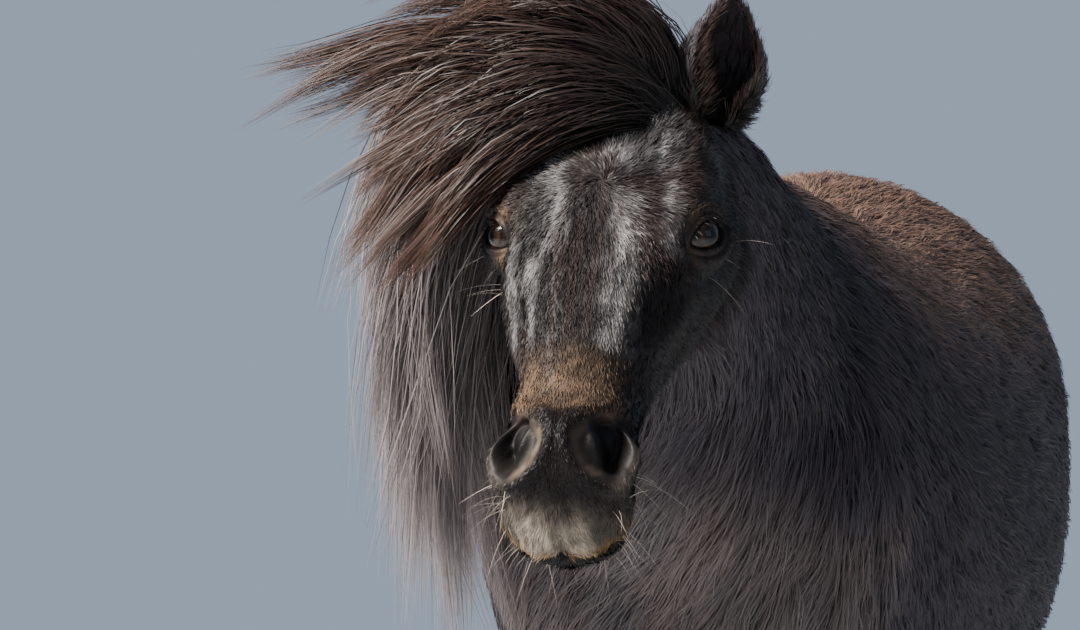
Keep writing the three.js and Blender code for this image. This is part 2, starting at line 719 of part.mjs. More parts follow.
const torso = largest(behind(flesh, NECK_BASE, PART_GAP));
const neckBody = largest(behind(ahead(flesh, NECK_BASE, PART_GAP), HEAD_BASE, PART_GAP));
const headHollows = union([sockets, nostrilHollows(), mouthSlot()]);
const headBody = ahead(flesh, HEAD_BASE, PART_GAP).subtract(headHollows);

const neckGrown = behind(ahead(fleshGrown, NECK_BASE), HEAD_BASE);
const forelock = union(forelockLocks()).subtract(union([neckGrown, sockets, earsGrown]));
const head = largest(union([largest(headBody), forelock]));
const mane = union(maneLocks()).subtract(union([headGrown, torsoGrown, earsGrown, head]));
const neck = largest(union([neckBody, mane]));

const pony = new THREE.Group();
pony.add(headGroup);

// Puts a solid, made in the pony's frame, into the scene as a named mesh of a group.
function addNode(name, solid, material, group = pony) {
  const mesh = solid.getMesh();
  const position = new Float32Array(mesh.numVert * 3);
  for (let i = 0; i < mesh.numVert; i += 1) {
    position.set(mesh.vertProperties.subarray(i * mesh.numProp, i * mesh.numProp + 3), i * 3);
  }
  const geometry = new THREE.BufferGeometry();
  geometry.setAttribute("position", new THREE.BufferAttribute(position, 3));
  geometry.setIndex(new THREE.BufferAttribute(new Uint32Array(mesh.triVerts), 1));
  geometry.applyMatrix4(group.matrixWorld.clone().invert());
  geometry.computeVertexNormals();
  const made = new THREE.Mesh(geometry, material);
  made.name = name;
  group.add(made);
}

addNode("torso", torso, coat);
addNode("neck", neck, coat);
addNode("head", head, coat, headGroup);
for (const [side, label] of [[1, "left"], [-1, "right"]]) {
  addNode(`ear_${label}`, largest(solidOf(earGeometry(side)).subtract(fleshGrown)), coat, headGroup);
  addNode(`eye_${label}`, eyeSphere(side), eyeGloss, headGroup);
}
const featherRandom = randomStream(SEED + 3);
for (const [kind, rows] of [["foreleg", FORELEG], ["hindleg", HINDLEG]]) {
  for (const [side, label] of [[1, "left"], [-1, "right"]]) {
    const name = `${kind}_${label}`;
    const placed = legRows(rows, side, STRIDES[name]);
    const hoof = hoofSolid(placed);
    const flank = solidOf(loft(placed, LEG_SIDES, LEG_STEPS));
    const leg = union([flank, ...featherLocks(placed, featherRandom)]);
    addNode(name, largest(leg.subtract(torsoGrown).subtract(hoof)), coat);
    addNode(`hoof_${kind}_${label}`, hoof, horn);
  }
}
addNode("tail", largest(union(tailSolids()).subtract(torsoGrown)), coat);

// The origin goes to the ground under the middle of the whole box.
pony.updateMatrixWorld(true);
const box = new THREE.Box3().setFromObject(pony, true);
pony.position.set(-(box.min.x + box.max.x) / 2, -(box.min.y + box.max.y) / 2, -box.min.z);

export default pony;
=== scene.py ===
import bpy
import numpy as np
from mathutils import Matrix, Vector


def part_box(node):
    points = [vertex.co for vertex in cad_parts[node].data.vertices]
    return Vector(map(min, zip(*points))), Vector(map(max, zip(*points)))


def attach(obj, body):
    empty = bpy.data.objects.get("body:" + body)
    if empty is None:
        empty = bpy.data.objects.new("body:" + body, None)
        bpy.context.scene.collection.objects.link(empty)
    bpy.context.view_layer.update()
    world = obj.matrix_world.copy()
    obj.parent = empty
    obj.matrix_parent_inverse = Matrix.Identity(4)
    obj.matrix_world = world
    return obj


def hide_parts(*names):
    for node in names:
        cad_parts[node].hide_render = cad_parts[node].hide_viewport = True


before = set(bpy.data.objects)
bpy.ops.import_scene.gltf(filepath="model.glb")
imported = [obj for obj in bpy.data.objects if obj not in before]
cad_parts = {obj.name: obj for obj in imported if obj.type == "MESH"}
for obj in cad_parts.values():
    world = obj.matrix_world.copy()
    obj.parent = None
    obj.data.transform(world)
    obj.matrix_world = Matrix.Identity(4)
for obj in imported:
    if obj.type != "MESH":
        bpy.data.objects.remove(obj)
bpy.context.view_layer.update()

bl_info = {
    "name": "Shetland Pony",
    "version": (1, 0, 0),
    "blender": (4, 5, 0),
    "location": "3D View > Sidebar > Pony",
    "description": "Builds a windblown Shetland pony in its winter coat around its packed solids",
    "category": "Add Mesh",
}

# Sizes below are in millimetres in the pony's own frame: +Z up, facing -Y, its left side +X. to_row turns
# them into metres in the row frame.
MM = 0.001
SEED = 20417

# Driving sizes
WITHERS_HEIGHT = 1000
BACK_HEIGHT = 962
CROUP_HEIGHT = 1002
BELLY_HEIGHT = 440
BREAST_Y = -452
RUMP_Y = 585
BARREL_HALF = 262
SHOULDER_HALF = 212
HIP_HALF = 243
HEAD_LENGTH = 417
HEAD_PITCH = np.radians(45)
HEAD_TURN = np.radians(1.2)
POLL = np.array([0.0, -690.0, 1010.0])
NECK_START_Y = -270
EYE_RADIUS = 19.0
EYE_CENTRE = np.array([75.0, -128.0, 8.0])
EAR_LENGTH = 102
HOOF_HEIGHT = 56
MANE_LENGTH = 470
TAIL_TIP_HEIGHT = 85
PART_GAP = 0.3

# Rows of [x, top y, top z, bottom y, bottom z, half width, wide, square top, square bottom]
TORSO = [
    [0, BREAST_Y, 770, BREAST_Y + 2, 690, 42, 0.5, 2, 2],
    [0, -432, 850, -438, 600, 118, 0.5, 2.1, 2.1],
    [0, -390, 925, -400, 528, 168, 0.47, 2.1, 2.2],
    [0, -320, 972, -330, 484, 199, 0.45, 2, 2.3],
    [0, -235, WITHERS_HEIGHT, -245, 464, SHOULDER_HALF + 6, 0.43, 1.75, 2.3],
    [0, -130, 988, -135, 455, 240, 0.43, 1.9, 2.2],
    [0, 0, BACK_HEIGHT, 0, BELLY_HEIGHT, BARREL_HALF, 0.44, 2.05, 2.2],
    [0, 130, BACK_HEIGHT, 130, 446, BARREL_HALF + 2, 0.44, 2.0, 2.2],
    [0, 250, 985, 250, 470, 254, 0.47, 1.95, 2.2],
    [0, 350, CROUP_HEIGHT, 345, 508, HIP_HALF, 0.5, 1.9, 2.2],
    [0, 440, 992, 435, 548, 226, 0.5, 2, 2.2],
    [0, 520, 950, 515, 590, 188, 0.52, 2.2, 2.2],
    [0, 568, 885, 565, 655, 124, 0.5, 2.1, 2.1],
    [0, RUMP_Y, 810, RUMP_Y, 735, 48, 0.5, 2, 2],
]

NECK = [
    [0, -170, 985, -380, 560, 150, 0.45, 2, 2.2],
    [0, -270, 1003, -440, 620, 146, 0.45, 1.9, 2.2],
    [0, -360, 1022, -496, 690, 130, 0.45, 1.9, 2.2],
    [0, -450, 1042, -548, 752, 114, 0.46, 2, 2.2],
    [0, -540, 1056, -600, 808, 101, 0.47, 2, 2.2],
    [0, -615, 1058, -645, 850, 91, 0.48, 2, 2.2],
    [0, -680, 1044, -690, 880, 80, 0.5, 2, 2.1],
    [0, -730, 1010, -730, 905, 60, 0.5, 2, 2],
]

# The head's own frame: its origin is the poll, -y runs down the face and z out of the forehead.
HEAD = [
    [0, 44, 4, 0, -62, 44, 0.5, 2, 2],
    [0, 20, 30, -18, -100, 68, 0.58, 2.2, 2.2],
    [0, -15, 44, -52, -126, 82, 0.6, 2.4, 2.2],
    [0, -60, 54, -92, -132, 89, 0.62, 2.5, 2.2],
    [0, -110, 58, -138, -122, 90, 0.63, 2.6, 2.2],
    [0, -165, 54, -186, -104, 79, 0.6, 2.5, 2.2],
    [0, -222, 46, -234, -86, 64, 0.56, 2.4, 2.3],
    [0, -280, 38, -284, -76, 51, 0.53, 2.3, 2.3],
    [0, -325, 34, -328, -78, 49, 0.53, 2.3, 2.3],
    [0, -362, 31, -362, -88, 52, 0.54, 2.3, 2.3],
    [0, -390, 16, -386, -92, 50, 0.5, 2.2, 2.3],
    [0, -408, -12, -402, -82, 37, 0.5, 2.1, 2.1],
    [0, -HEAD_LENGTH, -34, -410, -62, 15, 0.5, 2, 2],
]

FORELEG = [
    [112, -390, 690, -230, 670, 46, 0.5, 2, 2],
    [118, -398, 612, -224, 580, 58, 0.5, 2, 2.1],
    [120, -372, 535, -236, 508, 53, 0.5, 2, 2.1],
    [114, -350, 440, -258, 428, 43, 0.5, 2, 2.1],
    [111, -338, 358, -268, 350, 34, 0.5, 2, 2],
    [110, -341, 305, -265, 300, 38, 0.5, 2.3, 2],
    [109, -330, 254, -268, 250, 29, 0.5, 2.2, 2],
    [108, -325, 200, -270, 197, 24, 0.5, 2.1, 2],
    [107, -328, 148, -264, 142, 28, 0.5, 2.1, 2],
    [106, -338, 116, -260, 106, 34, 0.5, 2.1, 2],
    [106, -350, 88, -286, 72, 28, 0.5, 2, 2],
    [106, -374, HOOF_HEIGHT + 4, -290, HOOF_HEIGHT - 8, 40, 0.5, 2, 2],
]

HINDLEG = [
    [124, 290, 760, 520, 745, 70, 0.5, 2, 2.1],
    [128, 264, 672, 536, 665, 84, 0.5, 2, 2.1],
    [128, 266, 585, 524, 610, 80, 0.5, 2, 2.1],
    [121, 315, 502, 500, 535, 56, 0.5, 2, 2.1],
    [114, 376, 440, 510, 470, 43, 0.5, 2, 2.1],
    [111, 426, 380, 534, 408, 37, 0.5, 2, 1.8],
    [110, 434, 330, 527, 345, 35, 0.5, 2.2, 2],
    [109, 441, 270, 509, 276, 28, 0.5, 2.1, 2],
    [108, 446, 205, 503, 206, 25, 0.5, 2.1, 2],
    [107, 443, 150, 505, 145, 29, 0.5, 2.1, 2],
    [107, 433, 118, 510, 108, 34, 0.5, 2.1, 2],
    [107, 420, 90, 482, 74, 28, 0.5, 2, 2],
    [107, 396, HOOF_HEIGHT + 4, 478, HOOF_HEIGHT - 8, 40, 0.5, 2, 2],
]

STRIDE_TOP = 560
STRIDES = {"foreleg_left": 22, "foreleg_right": -34, "hindleg_left": 40, "hindleg_right": -12}

# Swells of the trunk: centre and half sizes on the left side, then the lean about x
TRUNK_SWELLS = [
    [(110, -262, 735), (94, 118, 190), -0.3],
    [(98, -322, 640), (88, 96, 128), 0.35],
    [(126, 395, 725), (110, 158, 195), -0.12],
]

DOCK = np.array([(0, 560, 905), (0, 628, 910), (0, 655, 820), (0, 660, 700)], float)
DOCK_RADII = (34, 11)


# Small mathematics

def hex_linear(code):
    """Linear colour of an sRGB hex value: a channel over 12.92 near black, else ((c + 0.055) / 1.055)^2.4."""
    channels = np.array([(code >> shift) & 255 for shift in (16, 8, 0)]) / 255
    return tuple(np.where(channels <= 0.04045, channels / 12.92, ((channels + 0.055) / 1.055) ** 2.4))


def unit(vectors):
    """Vectors divided by their length."""
    return vectors / np.maximum(np.linalg.norm(vectors, axis=-1, keepdims=True), 1e-9)


def ramp(value, start, end):
    """Rises smoothly from 0 at start to 1 at end, as 3t^2 - 2t^3. end may be below start."""
    t = np.clip((value - start) / (end - start), 0, 1)
    return t * t * (3 - 2 * t)


def bell(value, middle, width):
    """A bell of height 1 over its middle: exp(-((value - middle) / width)^2)."""
    return np.exp(-(((value - middle) / width) ** 2))


def rows_at(rows, places):
    """Rows read at places from 0 to 1: a uniform Catmull-Rom curve through each column, end rows repeated."""
    rows = np.asarray(rows, float)
    last = len(rows) - 1
    spot = np.clip(places, 0, 1) * last
    i = np.minimum(spot.astype(int), last - 1)
    t = (spot - i)[:, None]
    a, b = rows[i], rows[i + 1]
    slope_a = (b - rows[np.maximum(i - 1, 0)]) / 2
    slope_b = (rows[np.minimum(i + 2, last)] - a) / 2
    return (
        (2 * t**3 - 3 * t**2 + 1) * a
        + (t**3 - 2 * t**2 + t) * slope_a
        + (3 * t**2 - 2 * t**3) * b
        + (t**3 - t**2) * slope_b
    )


def bezier(points, t):
    """Points of cubic Bezier curves: controls are (..., 4, 3), t is (n,) and the result is (..., n, 3)."""
    s = 1 - t
    weights = np.stack([s**3, 3 * s * s * t, 3 * s * t * t, t**3], -1)
    return np.einsum("nk,...kd->...nd", weights, points)


def turned(points, axis, angle):
    """Points turned about the x (0), y (1) or z (2) axis."""
    a, b = [(1, 2), (2, 0), (0, 1)][axis]
    out = np.array(points, float)
    out[..., a] = points[..., a] * np.cos(angle) - points[..., b] * np.sin(angle)
    out[..., b] = points[..., a] * np.sin(angle) + points[..., b] * np.cos(angle)
    return out


def from_head(points):
    """Points of the head's frame in the pony's frame."""
    return turned(np.asarray(points, float), 0, HEAD_PITCH) + POLL


def to_head(points):
    """Points of the pony's frame in the head's frame, before the neck's bend."""
    return turned(np.asarray(points, float) - POLL, 0, -HEAD_PITCH)


BEND = np.tan(HEAD_TURN) / (2 * (NECK_START_Y - POLL[1]))


def bent(points, way=-1):
    """The neck's bend: x moves by BEND times the squared way ahead of the shoulder, and way 1 undoes it."""
    out = np.array(points, float)
    out[..., 0] += way * BEND * np.maximum(NECK_START_Y - out[..., 1], 0) ** 2
    return out


def frame_shift():
    """From the pony's frame to the row's, found from where the eyes' solids lie."""
    middles = [(np.array(low) + np.array(high)) / 2 for low, high in map(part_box, ("eye_left", "eye_right"))]
    own = bent(from_head(EYE_CENTRE * (0, 1, 1)))
    return np.mean(middles, 0) - own * MM


SHIFT = frame_shift()


def to_row(points):
    """Points of the pony's frame, in mm, as row-frame metres."""
    return bent(points) * MM + SHIFT


def from_row(points):
    """Row-frame metres back to unbent millimetres."""
    return bent((np.asarray(points) - SHIFT) / MM, way=1)


# Meshes

def make_object(name, points, quads=(), triangles=()):
    """A mesh object at the origin from points in metres and faces, all smooth."""
    quads = np.asarray(quads, int).reshape(-1, 4)
    triangles = np.asarray(triangles, int).reshape(-1, 3)
    mesh = bpy.data.meshes.new(name)
    mesh.vertices.add(len(points))
    mesh.vertices.foreach_set("co", np.asarray(points, np.float32).ravel())
    corners = np.concatenate([quads.ravel(), triangles.ravel()])
    sizes = np.concatenate([np.full(len(quads), 4), np.full(len(triangles), 3)])
    mesh.loops.add(len(corners))
    mesh.loops.foreach_set("vertex_index", corners.astype(np.int32))
    mesh.polygons.add(len(sizes))
    mesh.polygons.foreach_set("loop_start", (np.cumsum(sizes) - sizes).astype(np.int32))
    mesh.polygons.foreach_set("use_smooth", np.ones(len(sizes), bool))
    mesh.update(calc_edges=True)
    made = bpy.data.objects.new(name, mesh)
    bpy.context.scene.collection.objects.link(made)
    return made


def skinned(rings):
    """Closed rings (count, around, 3) as a closed surface: quads between rings and a fan over each end."""
    count, around = rings.shape[:2]
    points = np.concatenate([rings.reshape(-1, 3), rings[0].mean(0)[None], rings[-1].mean(0)[None]])
    index = np.arange(count * around).reshape(count, around)
    beside = np.roll(index, -1, 1)
    quads = np.stack([index[:-1], beside[:-1], beside[1:], index[1:]], -1).reshape(-1, 4)
    hubs = [np.full(around, count * around), np.full(around, count * around + 1)]
    fans = [np.stack([hubs[0], beside[0], index[0]], -1), np.stack([hubs[1], index[-1], beside[-1]], -1)]
    triangles = np.concatenate(fans)
    middle = rings.reshape(-1, 3).mean(0)
    a, b, c = (points[quads[:, k]] - middle for k in range(3))
    if np.einsum("ij,ij->i", a, np.cross(b, c)).sum() < 0:
        quads, triangles = quads[:, ::-1], triangles[:, ::-1]
    return points, quads, triangles


def joined_surfaces(surfaces):
    """Several (points, quads, triangles) as one."""
    starts = np.cumsum([0] + [len(points) for points, _, _ in surfaces])
    return (
        np.concatenate([points for points, _, _ in surfaces]),
        np.concatenate([quads + start for (_, quads, _), start in zip(surfaces, starts)]),
        np.concatenate([triangles + start for (_, _, triangles), start in zip(surfaces, starts)]),
    )


def section_rings(rows, angles, inset):
    """One ring a row: superellipse halves above and below the widest height, inset all round."""
    x, top_y, top_z, low_y, low_z, half, wide, square_top, square_low = np.asarray(rows).T[:, :, None]
    height = np.hypot(top_y - low_y, top_z - low_z)
    up_y, up_z = (top_y - low_y) / height, (top_z - low_z) / height
    across, rise = np.cos(angles), np.sin(angles)
    power = 2 / np.where(rise >= 0, square_top, square_low)
    reach = np.where(rise >= 0, height * (1 - wide), height * wide) - inset
    lift = height * wide + reach * np.sign(rise) * np.abs(rise) ** power
    sideways = (half - inset) * np.sign(across) * np.abs(across) ** power
    return np.stack([x + sideways, low_y + up_y * lift, low_z + up_z * lift], -1)


def ellipsoid(centre, halves, turn_x, around=40, down=24):
    """Rings of an ellipsoid from pole to pole, turned about x."""
    rise = np.linspace(0.04, np.pi - 0.04, down)[:, None]
    angle = np.linspace(0, 2 * np.pi, around, endpoint=False)[None]
    ball = np.sin(rise) * np.cos(angle), np.sin(rise) * np.sin(angle), np.cos(rise) + 0 * angle
    ball = np.stack(ball, -1)
    return turned(ball * halves, 0, turn_x) + centre


def evaluated_copy(source, name):
    """The object's mesh with its modifiers applied, as a new object; the old one is removed."""
    graph = bpy.context.evaluated_depsgraph_get()
    mesh = bpy.data.meshes.new_from_object(source.evaluated_get(graph), depsgraph=graph)
    mesh.name = name
    old = source.data
    bpy.data.objects.remove(source)
    bpy.data.meshes.remove(old)
    made = bpy.data.objects.new(name, mesh)
    bpy.context.scene.collection.objects.link(made)
    return made


def mesh_arrays(mesh):
    """Points and vertex normals of a mesh."""
    points = np.empty(len(mesh.vertices) * 3)
    mesh.vertices.foreach_get("co", points)
    normals = np.empty(len(mesh.vertices) * 3)
    mesh.vertex_normals.foreach_get("vector", normals)
    return points.reshape(-1, 3), normals.reshape(-1, 3)


def relaxed(mesh, weights, rounds):
    """Moves each point towards the mean of its neighbours by its weight, a number of rounds."""
    points, _ = mesh_arrays(mesh)
    edges = np.empty(len(mesh.edges) * 2, np.int32)
    mesh.edges.foreach_get("vertices", edges)
    a, b = edges.reshape(-1, 2).T
    count = np.bincount(np.concatenate([a, b]), minlength=len(points))[:, None]
    for _ in range(rounds):
        total = np.zeros_like(points)
        for axis in range(3):
            total[:, axis] = np.bincount(a, points[b, axis], len(points)) + np.bincount(
                b, points[a, axis], len(points)
            )
        points += weights[:, None] * (total / np.maximum(count, 1) - points)
    mesh.vertices.foreach_set("co", points.astype(np.float32).ravel())
    mesh.update()


# Head surface

# Rings along the head, points round each, and rings that close it at the lips
HEAD_RINGS = 232
HEAD_AROUND = 216
CAP_RINGS = 7

# Swells and hollows of the head, on the left side in the head's frame: centre, reach and lift in mm
HEAD_FORMS = {
    "brow": [(74, -112, 30), (34, 44, 26), 7.0],
    "hollow above the eye": [(54, -76, 50), (20, 26, 20), -5.0],
    "temple": [(70, -40, 30), (28, 36, 34), 3.5],
    "forehead middle": [(0, -95, 62), (44, 70, 26), 3.0],
    "cheek": [(80, -72, -66), (42, 78, 62), 10.0],
    "jaw edge": [(58, -150, -100), (26, 90, 26), 4.0],
    "facial crest": [(66, -205, -6), (18, 78, 13), 4.5],
    "flank below the crest": [(62, -215, -40), (24, 74, 22), -4.0],
    "flank above the crest": [(50, -236, 20), (16, 70, 16), -3.5],
    "nasal bone": [(20, -240, 48), (16, 110, 16), 1.5],
    "nose tip": [(0, -372, 34), (26, 34, 20), 1.5],
    "nostril wing": [(50, -364, 13), (40, 40, 42), 16.5],
    "upper lip": [(0, -404, -36), (38, 26, 24), 4.0],
    "upper lip side": [(34, -386, -34), (26, 34, 22), 4.0],
    "upper lip lobe": [(19, -408, -50), (19, 20, 17), 4.5],
    "lip groove": [(0, -414, -46), (8, 18, 26), -4.5],
    "lower lip": [(0, -398, -76), (28, 16, 13), 3.0],
    "chin": [(0, -372, -92), (30, 26, 22), 7.0],
}

# The left nostril in the head's frame: middle, the way it faces, half width and half height, depth and rim
NOSTRIL = np.array([38.0, -368.0, 15.0])
NOSTRIL_FACING = unit(np.array([0.42, -0.66, 0.60]))
NOSTRIL_HALVES = (28.0, 27.0)
NOSTRIL_DEPTH = 30.0
NOSTRIL_RIM = 4.5
# The line of the mouth in the head's frame, as y and z of its corner and of its front
MOUTH_CORNER = (-318.0, -42.0)
MOUTH_FRONT = (-430.0, -64.0)

# The way the left eye faces, the way of its slit, half the slit's length, and its rise and drop
EYE_OUT = unit(np.array([0.79, -0.38, 0.47]))
EYE_ALONG = unit(np.array([-0.43, -0.84, 0.28]))
LID_HALF_LENGTH = 17.5
LID_RISE = (12.4, 9.6)


def folded(points):
    """Points with the right side of the head brought over to the left."""
    return np.abs(points) * (1, 0, 0) + points * (0, 1, 1)


def nostril_frame():
    """Axes in the plane of the left nostril: sideways and up the face."""
    side = unit(np.array([0.86, 0.42, -0.1]))
    side = unit(side - NOSTRIL_FACING * side.dot(NOSTRIL_FACING))
    return side, np.cross(NOSTRIL_FACING, side)


def nostril_place(points):
    """How far points lie from the nostril's middle (1 at its rim), and how far to the side of it."""
    side, up = nostril_frame()
    off = folded(points) - NOSTRIL
    s, t, q = off @ side, off @ up, off @ NOSTRIL_FACING
    near = np.hypot(s / NOSTRIL_HALVES[0], t / NOSTRIL_HALVES[1] - 0.25 * (s / NOSTRIL_HALVES[0]) ** 2)
    return np.where(np.abs(q) < 45, near, 9), s


def eye_frame():
    """Axes of the left eye: out, along the slit towards the nose, and up."""
    along = unit(EYE_ALONG - EYE_OUT * EYE_ALONG.dot(EYE_OUT))
    up = np.cross(along, EYE_OUT)
    return EYE_OUT, along, up * np.sign(up[2])


def eye_place(points):
    """Where points lie in the eye's frame, as out, along and up, with both sides of the head alike."""
    off = folded(points) - EYE_CENTRE
    return [off @ axis for axis in eye_frame()]


def mouth_height(points):
    """Height over the line of the mouth, and how far ahead of its corner."""
    slope = (MOUTH_FRONT[1] - MOUTH_CORNER[1]) / (MOUTH_FRONT[0] - MOUTH_CORNER[0])
    ahead = MOUTH_CORNER[0] - points[..., 1]
    return points[..., 2] - (MOUTH_CORNER[1] - slope * ahead), ahead


def grid_normals(rings):
    """Normals of a grid of rings, from its steps around and along, facing away from each ring's middle."""
    around = np.roll(rings, -1, 1) - np.roll(rings, 1, 1)
    along = np.gradient(rings, axis=0)
    normals = unit(np.cross(around, along))
    away = rings - rings.mean(1, keepdims=True)
    return normals * np.sign(np.einsum("...i,...i->...", normals, away).mean())


def head_rings(inset):
    """The head: the section rows, then swells (1 - f^2)^2 along the normal, sockets, nostrils and lips."""
    places = np.linspace(0, 1, HEAD_RINGS)
    angles = np.linspace(0, 2 * np.pi, HEAD_AROUND, endpoint=False)
    rings = section_rings(rows_at(HEAD, places), angles, inset)
    tip = rings[-1]
    middle = tip.mean(0)
    close = np.linspace(0, np.pi / 2, CAP_RINGS + 1)[1:-1]
    forward = np.array([0, -0.96, 0.28])
    caps = [middle + (tip - middle) * np.cos(turn) + forward * 5 * np.sin(turn) for turn in close]
    rings = np.concatenate([rings, caps])
    for centre, reach, lift in HEAD_FORMS.values():
        normals = grid_normals(rings)
        off = (folded(rings) - centre) / reach
        near = np.clip(1 - (off**2).sum(-1), 0, 1)
        rings = rings + normals * (lift * near**2)[..., None]
    normals = grid_normals(rings)
    height, ahead = mouth_height(rings)
    open_ = ramp(ahead, -6, 14)
    lips = 2.6 * bell(height, 8, 5.5) + 2.2 * bell(height, -8, 5)
    lips -= 7.0 * bell(height, 0, 2.3)
    rings = rings + normals * (open_ * lips)[..., None]
    normals = grid_normals(rings)
    near, aside = nostril_place(rings)
    rim = NOSTRIL_RIM * bell(near, 1.16, 0.17)
    hollow = ramp(near, 1.0, 0.55) * NOSTRIL_DEPTH * (0.35 + 0.65 * ramp(aside, -8, 6))
    side = np.sign(rings[..., :1])
    mirror = np.concatenate([side, side * 0 + 1, side * 0 + 1], -1)
    rings = rings + normals * rim[..., None] - NOSTRIL_FACING * mirror * hollow[..., None]
    out, along, up = eye_place(rings)
    near = np.hypot(along / (LID_HALF_LENGTH + 3.5), up / (LID_RISE[0] + 3))
    dent = ramp(near, 1.15, 0.8) * (np.abs(out) < 40) * np.maximum(out + 4, 0)
    return rings - EYE_OUT * mirror * dent[..., None]


LID_AROUND = 84
# Profile of a lid: how far out from its edge and how high over the eyeball there, closed under the skin
LID_PROFILE = [
    (-2.0, -5.0), (-0.8, -0.4), (0.0, 1.3), (0.9, 2.3), (2.2, 2.7), (3.8, 2.3), (5.2, 1.2), (6.3, 0.7),
    (7.6, 1.3), (9.4, 1.5), (11.6, 0.6), (14.0, -1.6), (17.0, -5.5), (19.5, -10.5), (17.0, -17.0),
    (8.0, -16.0), (0.0, -12.0),
]
LID_STEPS = 44
# How far the almond edge is pinched towards the eye's corners
LID_PINCH = 0.22


def lid_surface(side):
    """The lids as a closed ring: the almond edge carried outwards along a profile over the eyeball."""
    angle = np.linspace(0, 2 * np.pi, LID_AROUND, endpoint=False)
    along = LID_HALF_LENGTH * np.cos(angle)
    up = np.where(np.sin(angle) > 0, LID_RISE[0], LID_RISE[1]) * np.sin(angle)
    up = up * (1 - LID_PINCH * np.cos(angle) ** 4)
    edge = np.stack([along, up], -1)
    reach = np.linalg.norm(edge, axis=-1, keepdims=True)
    rows = rows_at(LID_PROFILE, np.linspace(0, 1, LID_STEPS))
    lie = edge[None] * (1 + rows[:, 0][:, None, None] / reach[None])
    over = np.sqrt(np.maximum((EYE_RADIUS + 0.4) ** 2 - (edge**2).sum(-1), 9))
    lift = over[None] + rows[:, 1][:, None]
    out_axis, along_axis, up_axis = eye_frame()
    points = EYE_CENTRE + lift[..., None] * out_axis + lie[..., :1] * along_axis + lie[..., 1:] * up_axis
    points = points * (side, 1, 1)
    count, around = points.shape[:2]
    index = np.arange(count * around).reshape(count, around)
    beside = np.roll(index, -1, 1)
    quads = np.stack([index, beside, np.roll(beside, -1, 0), np.roll(index, -1, 0)], -1).reshape(-1, 4)
    if side < 0:
        quads = quads[:, ::-1]
    return to_row(from_head(points)).reshape(-1, 3), quads, np.empty((0, 3), int)


# Ears: rows of cup radius and half angle of its opening, from root to tip
EAR_ROOT = np.array([71.0, 24.0, 12.0])
EAR_WALL = 4.0
EAR = [[26, 0.45], [33, 0.62], [38, 0.85], [36, 1.0], [28, 1.1], [16, 1.15], [3.5, 1.15]]
EAR_STEPS = 44
EAR_SIDES = 34


def ear_axes(side):
    """The ear's own directions: up its length, out of its opening, and across."""
    rise = unit(np.array([side * 0.3, -0.06, 1.0]))
    opening = np.array([side * 0.42, -1.0, 0.05])
    opening = unit(opening - rise * opening.dot(rise))
    return rise, opening, np.cross(rise, opening)


def ear_centre(side, t):
    """The ear's middle line from root (0) to tip (1), leaning towards the other ear as t^2."""
    rise, _, _ = ear_axes(side)
    centre = from_head(EAR_ROOT * (side, 1, 1)) + rise * ((EAR_LENGTH + 16) * t - 20)[:, None]
    centre[:, 0] -= side * 13 * t**2
    return centre


def ear_surface(side, inset=1.5):
    """A cupped leaf: arcs that grow and close up a leaning line, doubled back at the wall's depth."""
    _, opening, across = ear_axes(side)
    t = np.linspace(0, 1, EAR_STEPS)
    radius, gap = rows_at(EAR, t).T
    radius = radius - inset
    wall = np.minimum(EAR_WALL, radius * 0.5)
    centre = ear_centre(side, t)
    turn = np.linspace(0, 1, EAR_SIDES)
    angle = gap[:, None] + (2 * np.pi - 2 * gap[:, None]) * turn[None]

    def arc(reach):
        return (
            centre[:, None]
            + opening * (reach[:, None] * 0.82 * np.cos(angle))[..., None]
            + across * (reach[:, None] * np.sin(angle))[..., None]
        )

    rings = np.concatenate([arc(radius), arc(radius - wall)[:, ::-1]], 1)
    points, quads, triangles = skinned(rings)
    return to_row(points), quads, triangles


# Legs, dock and trunk

def leg_rows(name, stride):
    """The rows of the leg of that name, with its stride growing from the elbow or stifle down."""
    rows = np.array(FORELEG if name.startswith("fore") else HINDLEG, float)
    rows[:, 0] *= 1 if name.endswith("left") else -1
    for y, z in ((1, 2), (3, 4)):
        rows[:, y] += stride * np.clip(1 - rows[:, z] / STRIDE_TOP, 0, 1)
    return rows


LEGS = {name: leg_rows(name, stride) for name, stride in STRIDES.items()}


def dock_rings(radii, steps=24, around=20):
    """The dock of the tail: rings of falling radius across a Bezier curve."""
    t = np.linspace(0, 1, steps)
    spine = bezier(DOCK, t)
    along = unit(np.gradient(spine, axis=0))
    up = np.cross((1, 0, 0), along)
    angle = np.linspace(0, 2 * np.pi, around, endpoint=False)
    radius = (radii[0] + (radii[1] - radii[0]) * t)[:, None, None]
    across = np.cos(angle)[None, :, None] * np.array([1, 0, 0])
    return spine[:, None] + radius * (across + np.sin(angle)[None, :, None] * up[:, None])


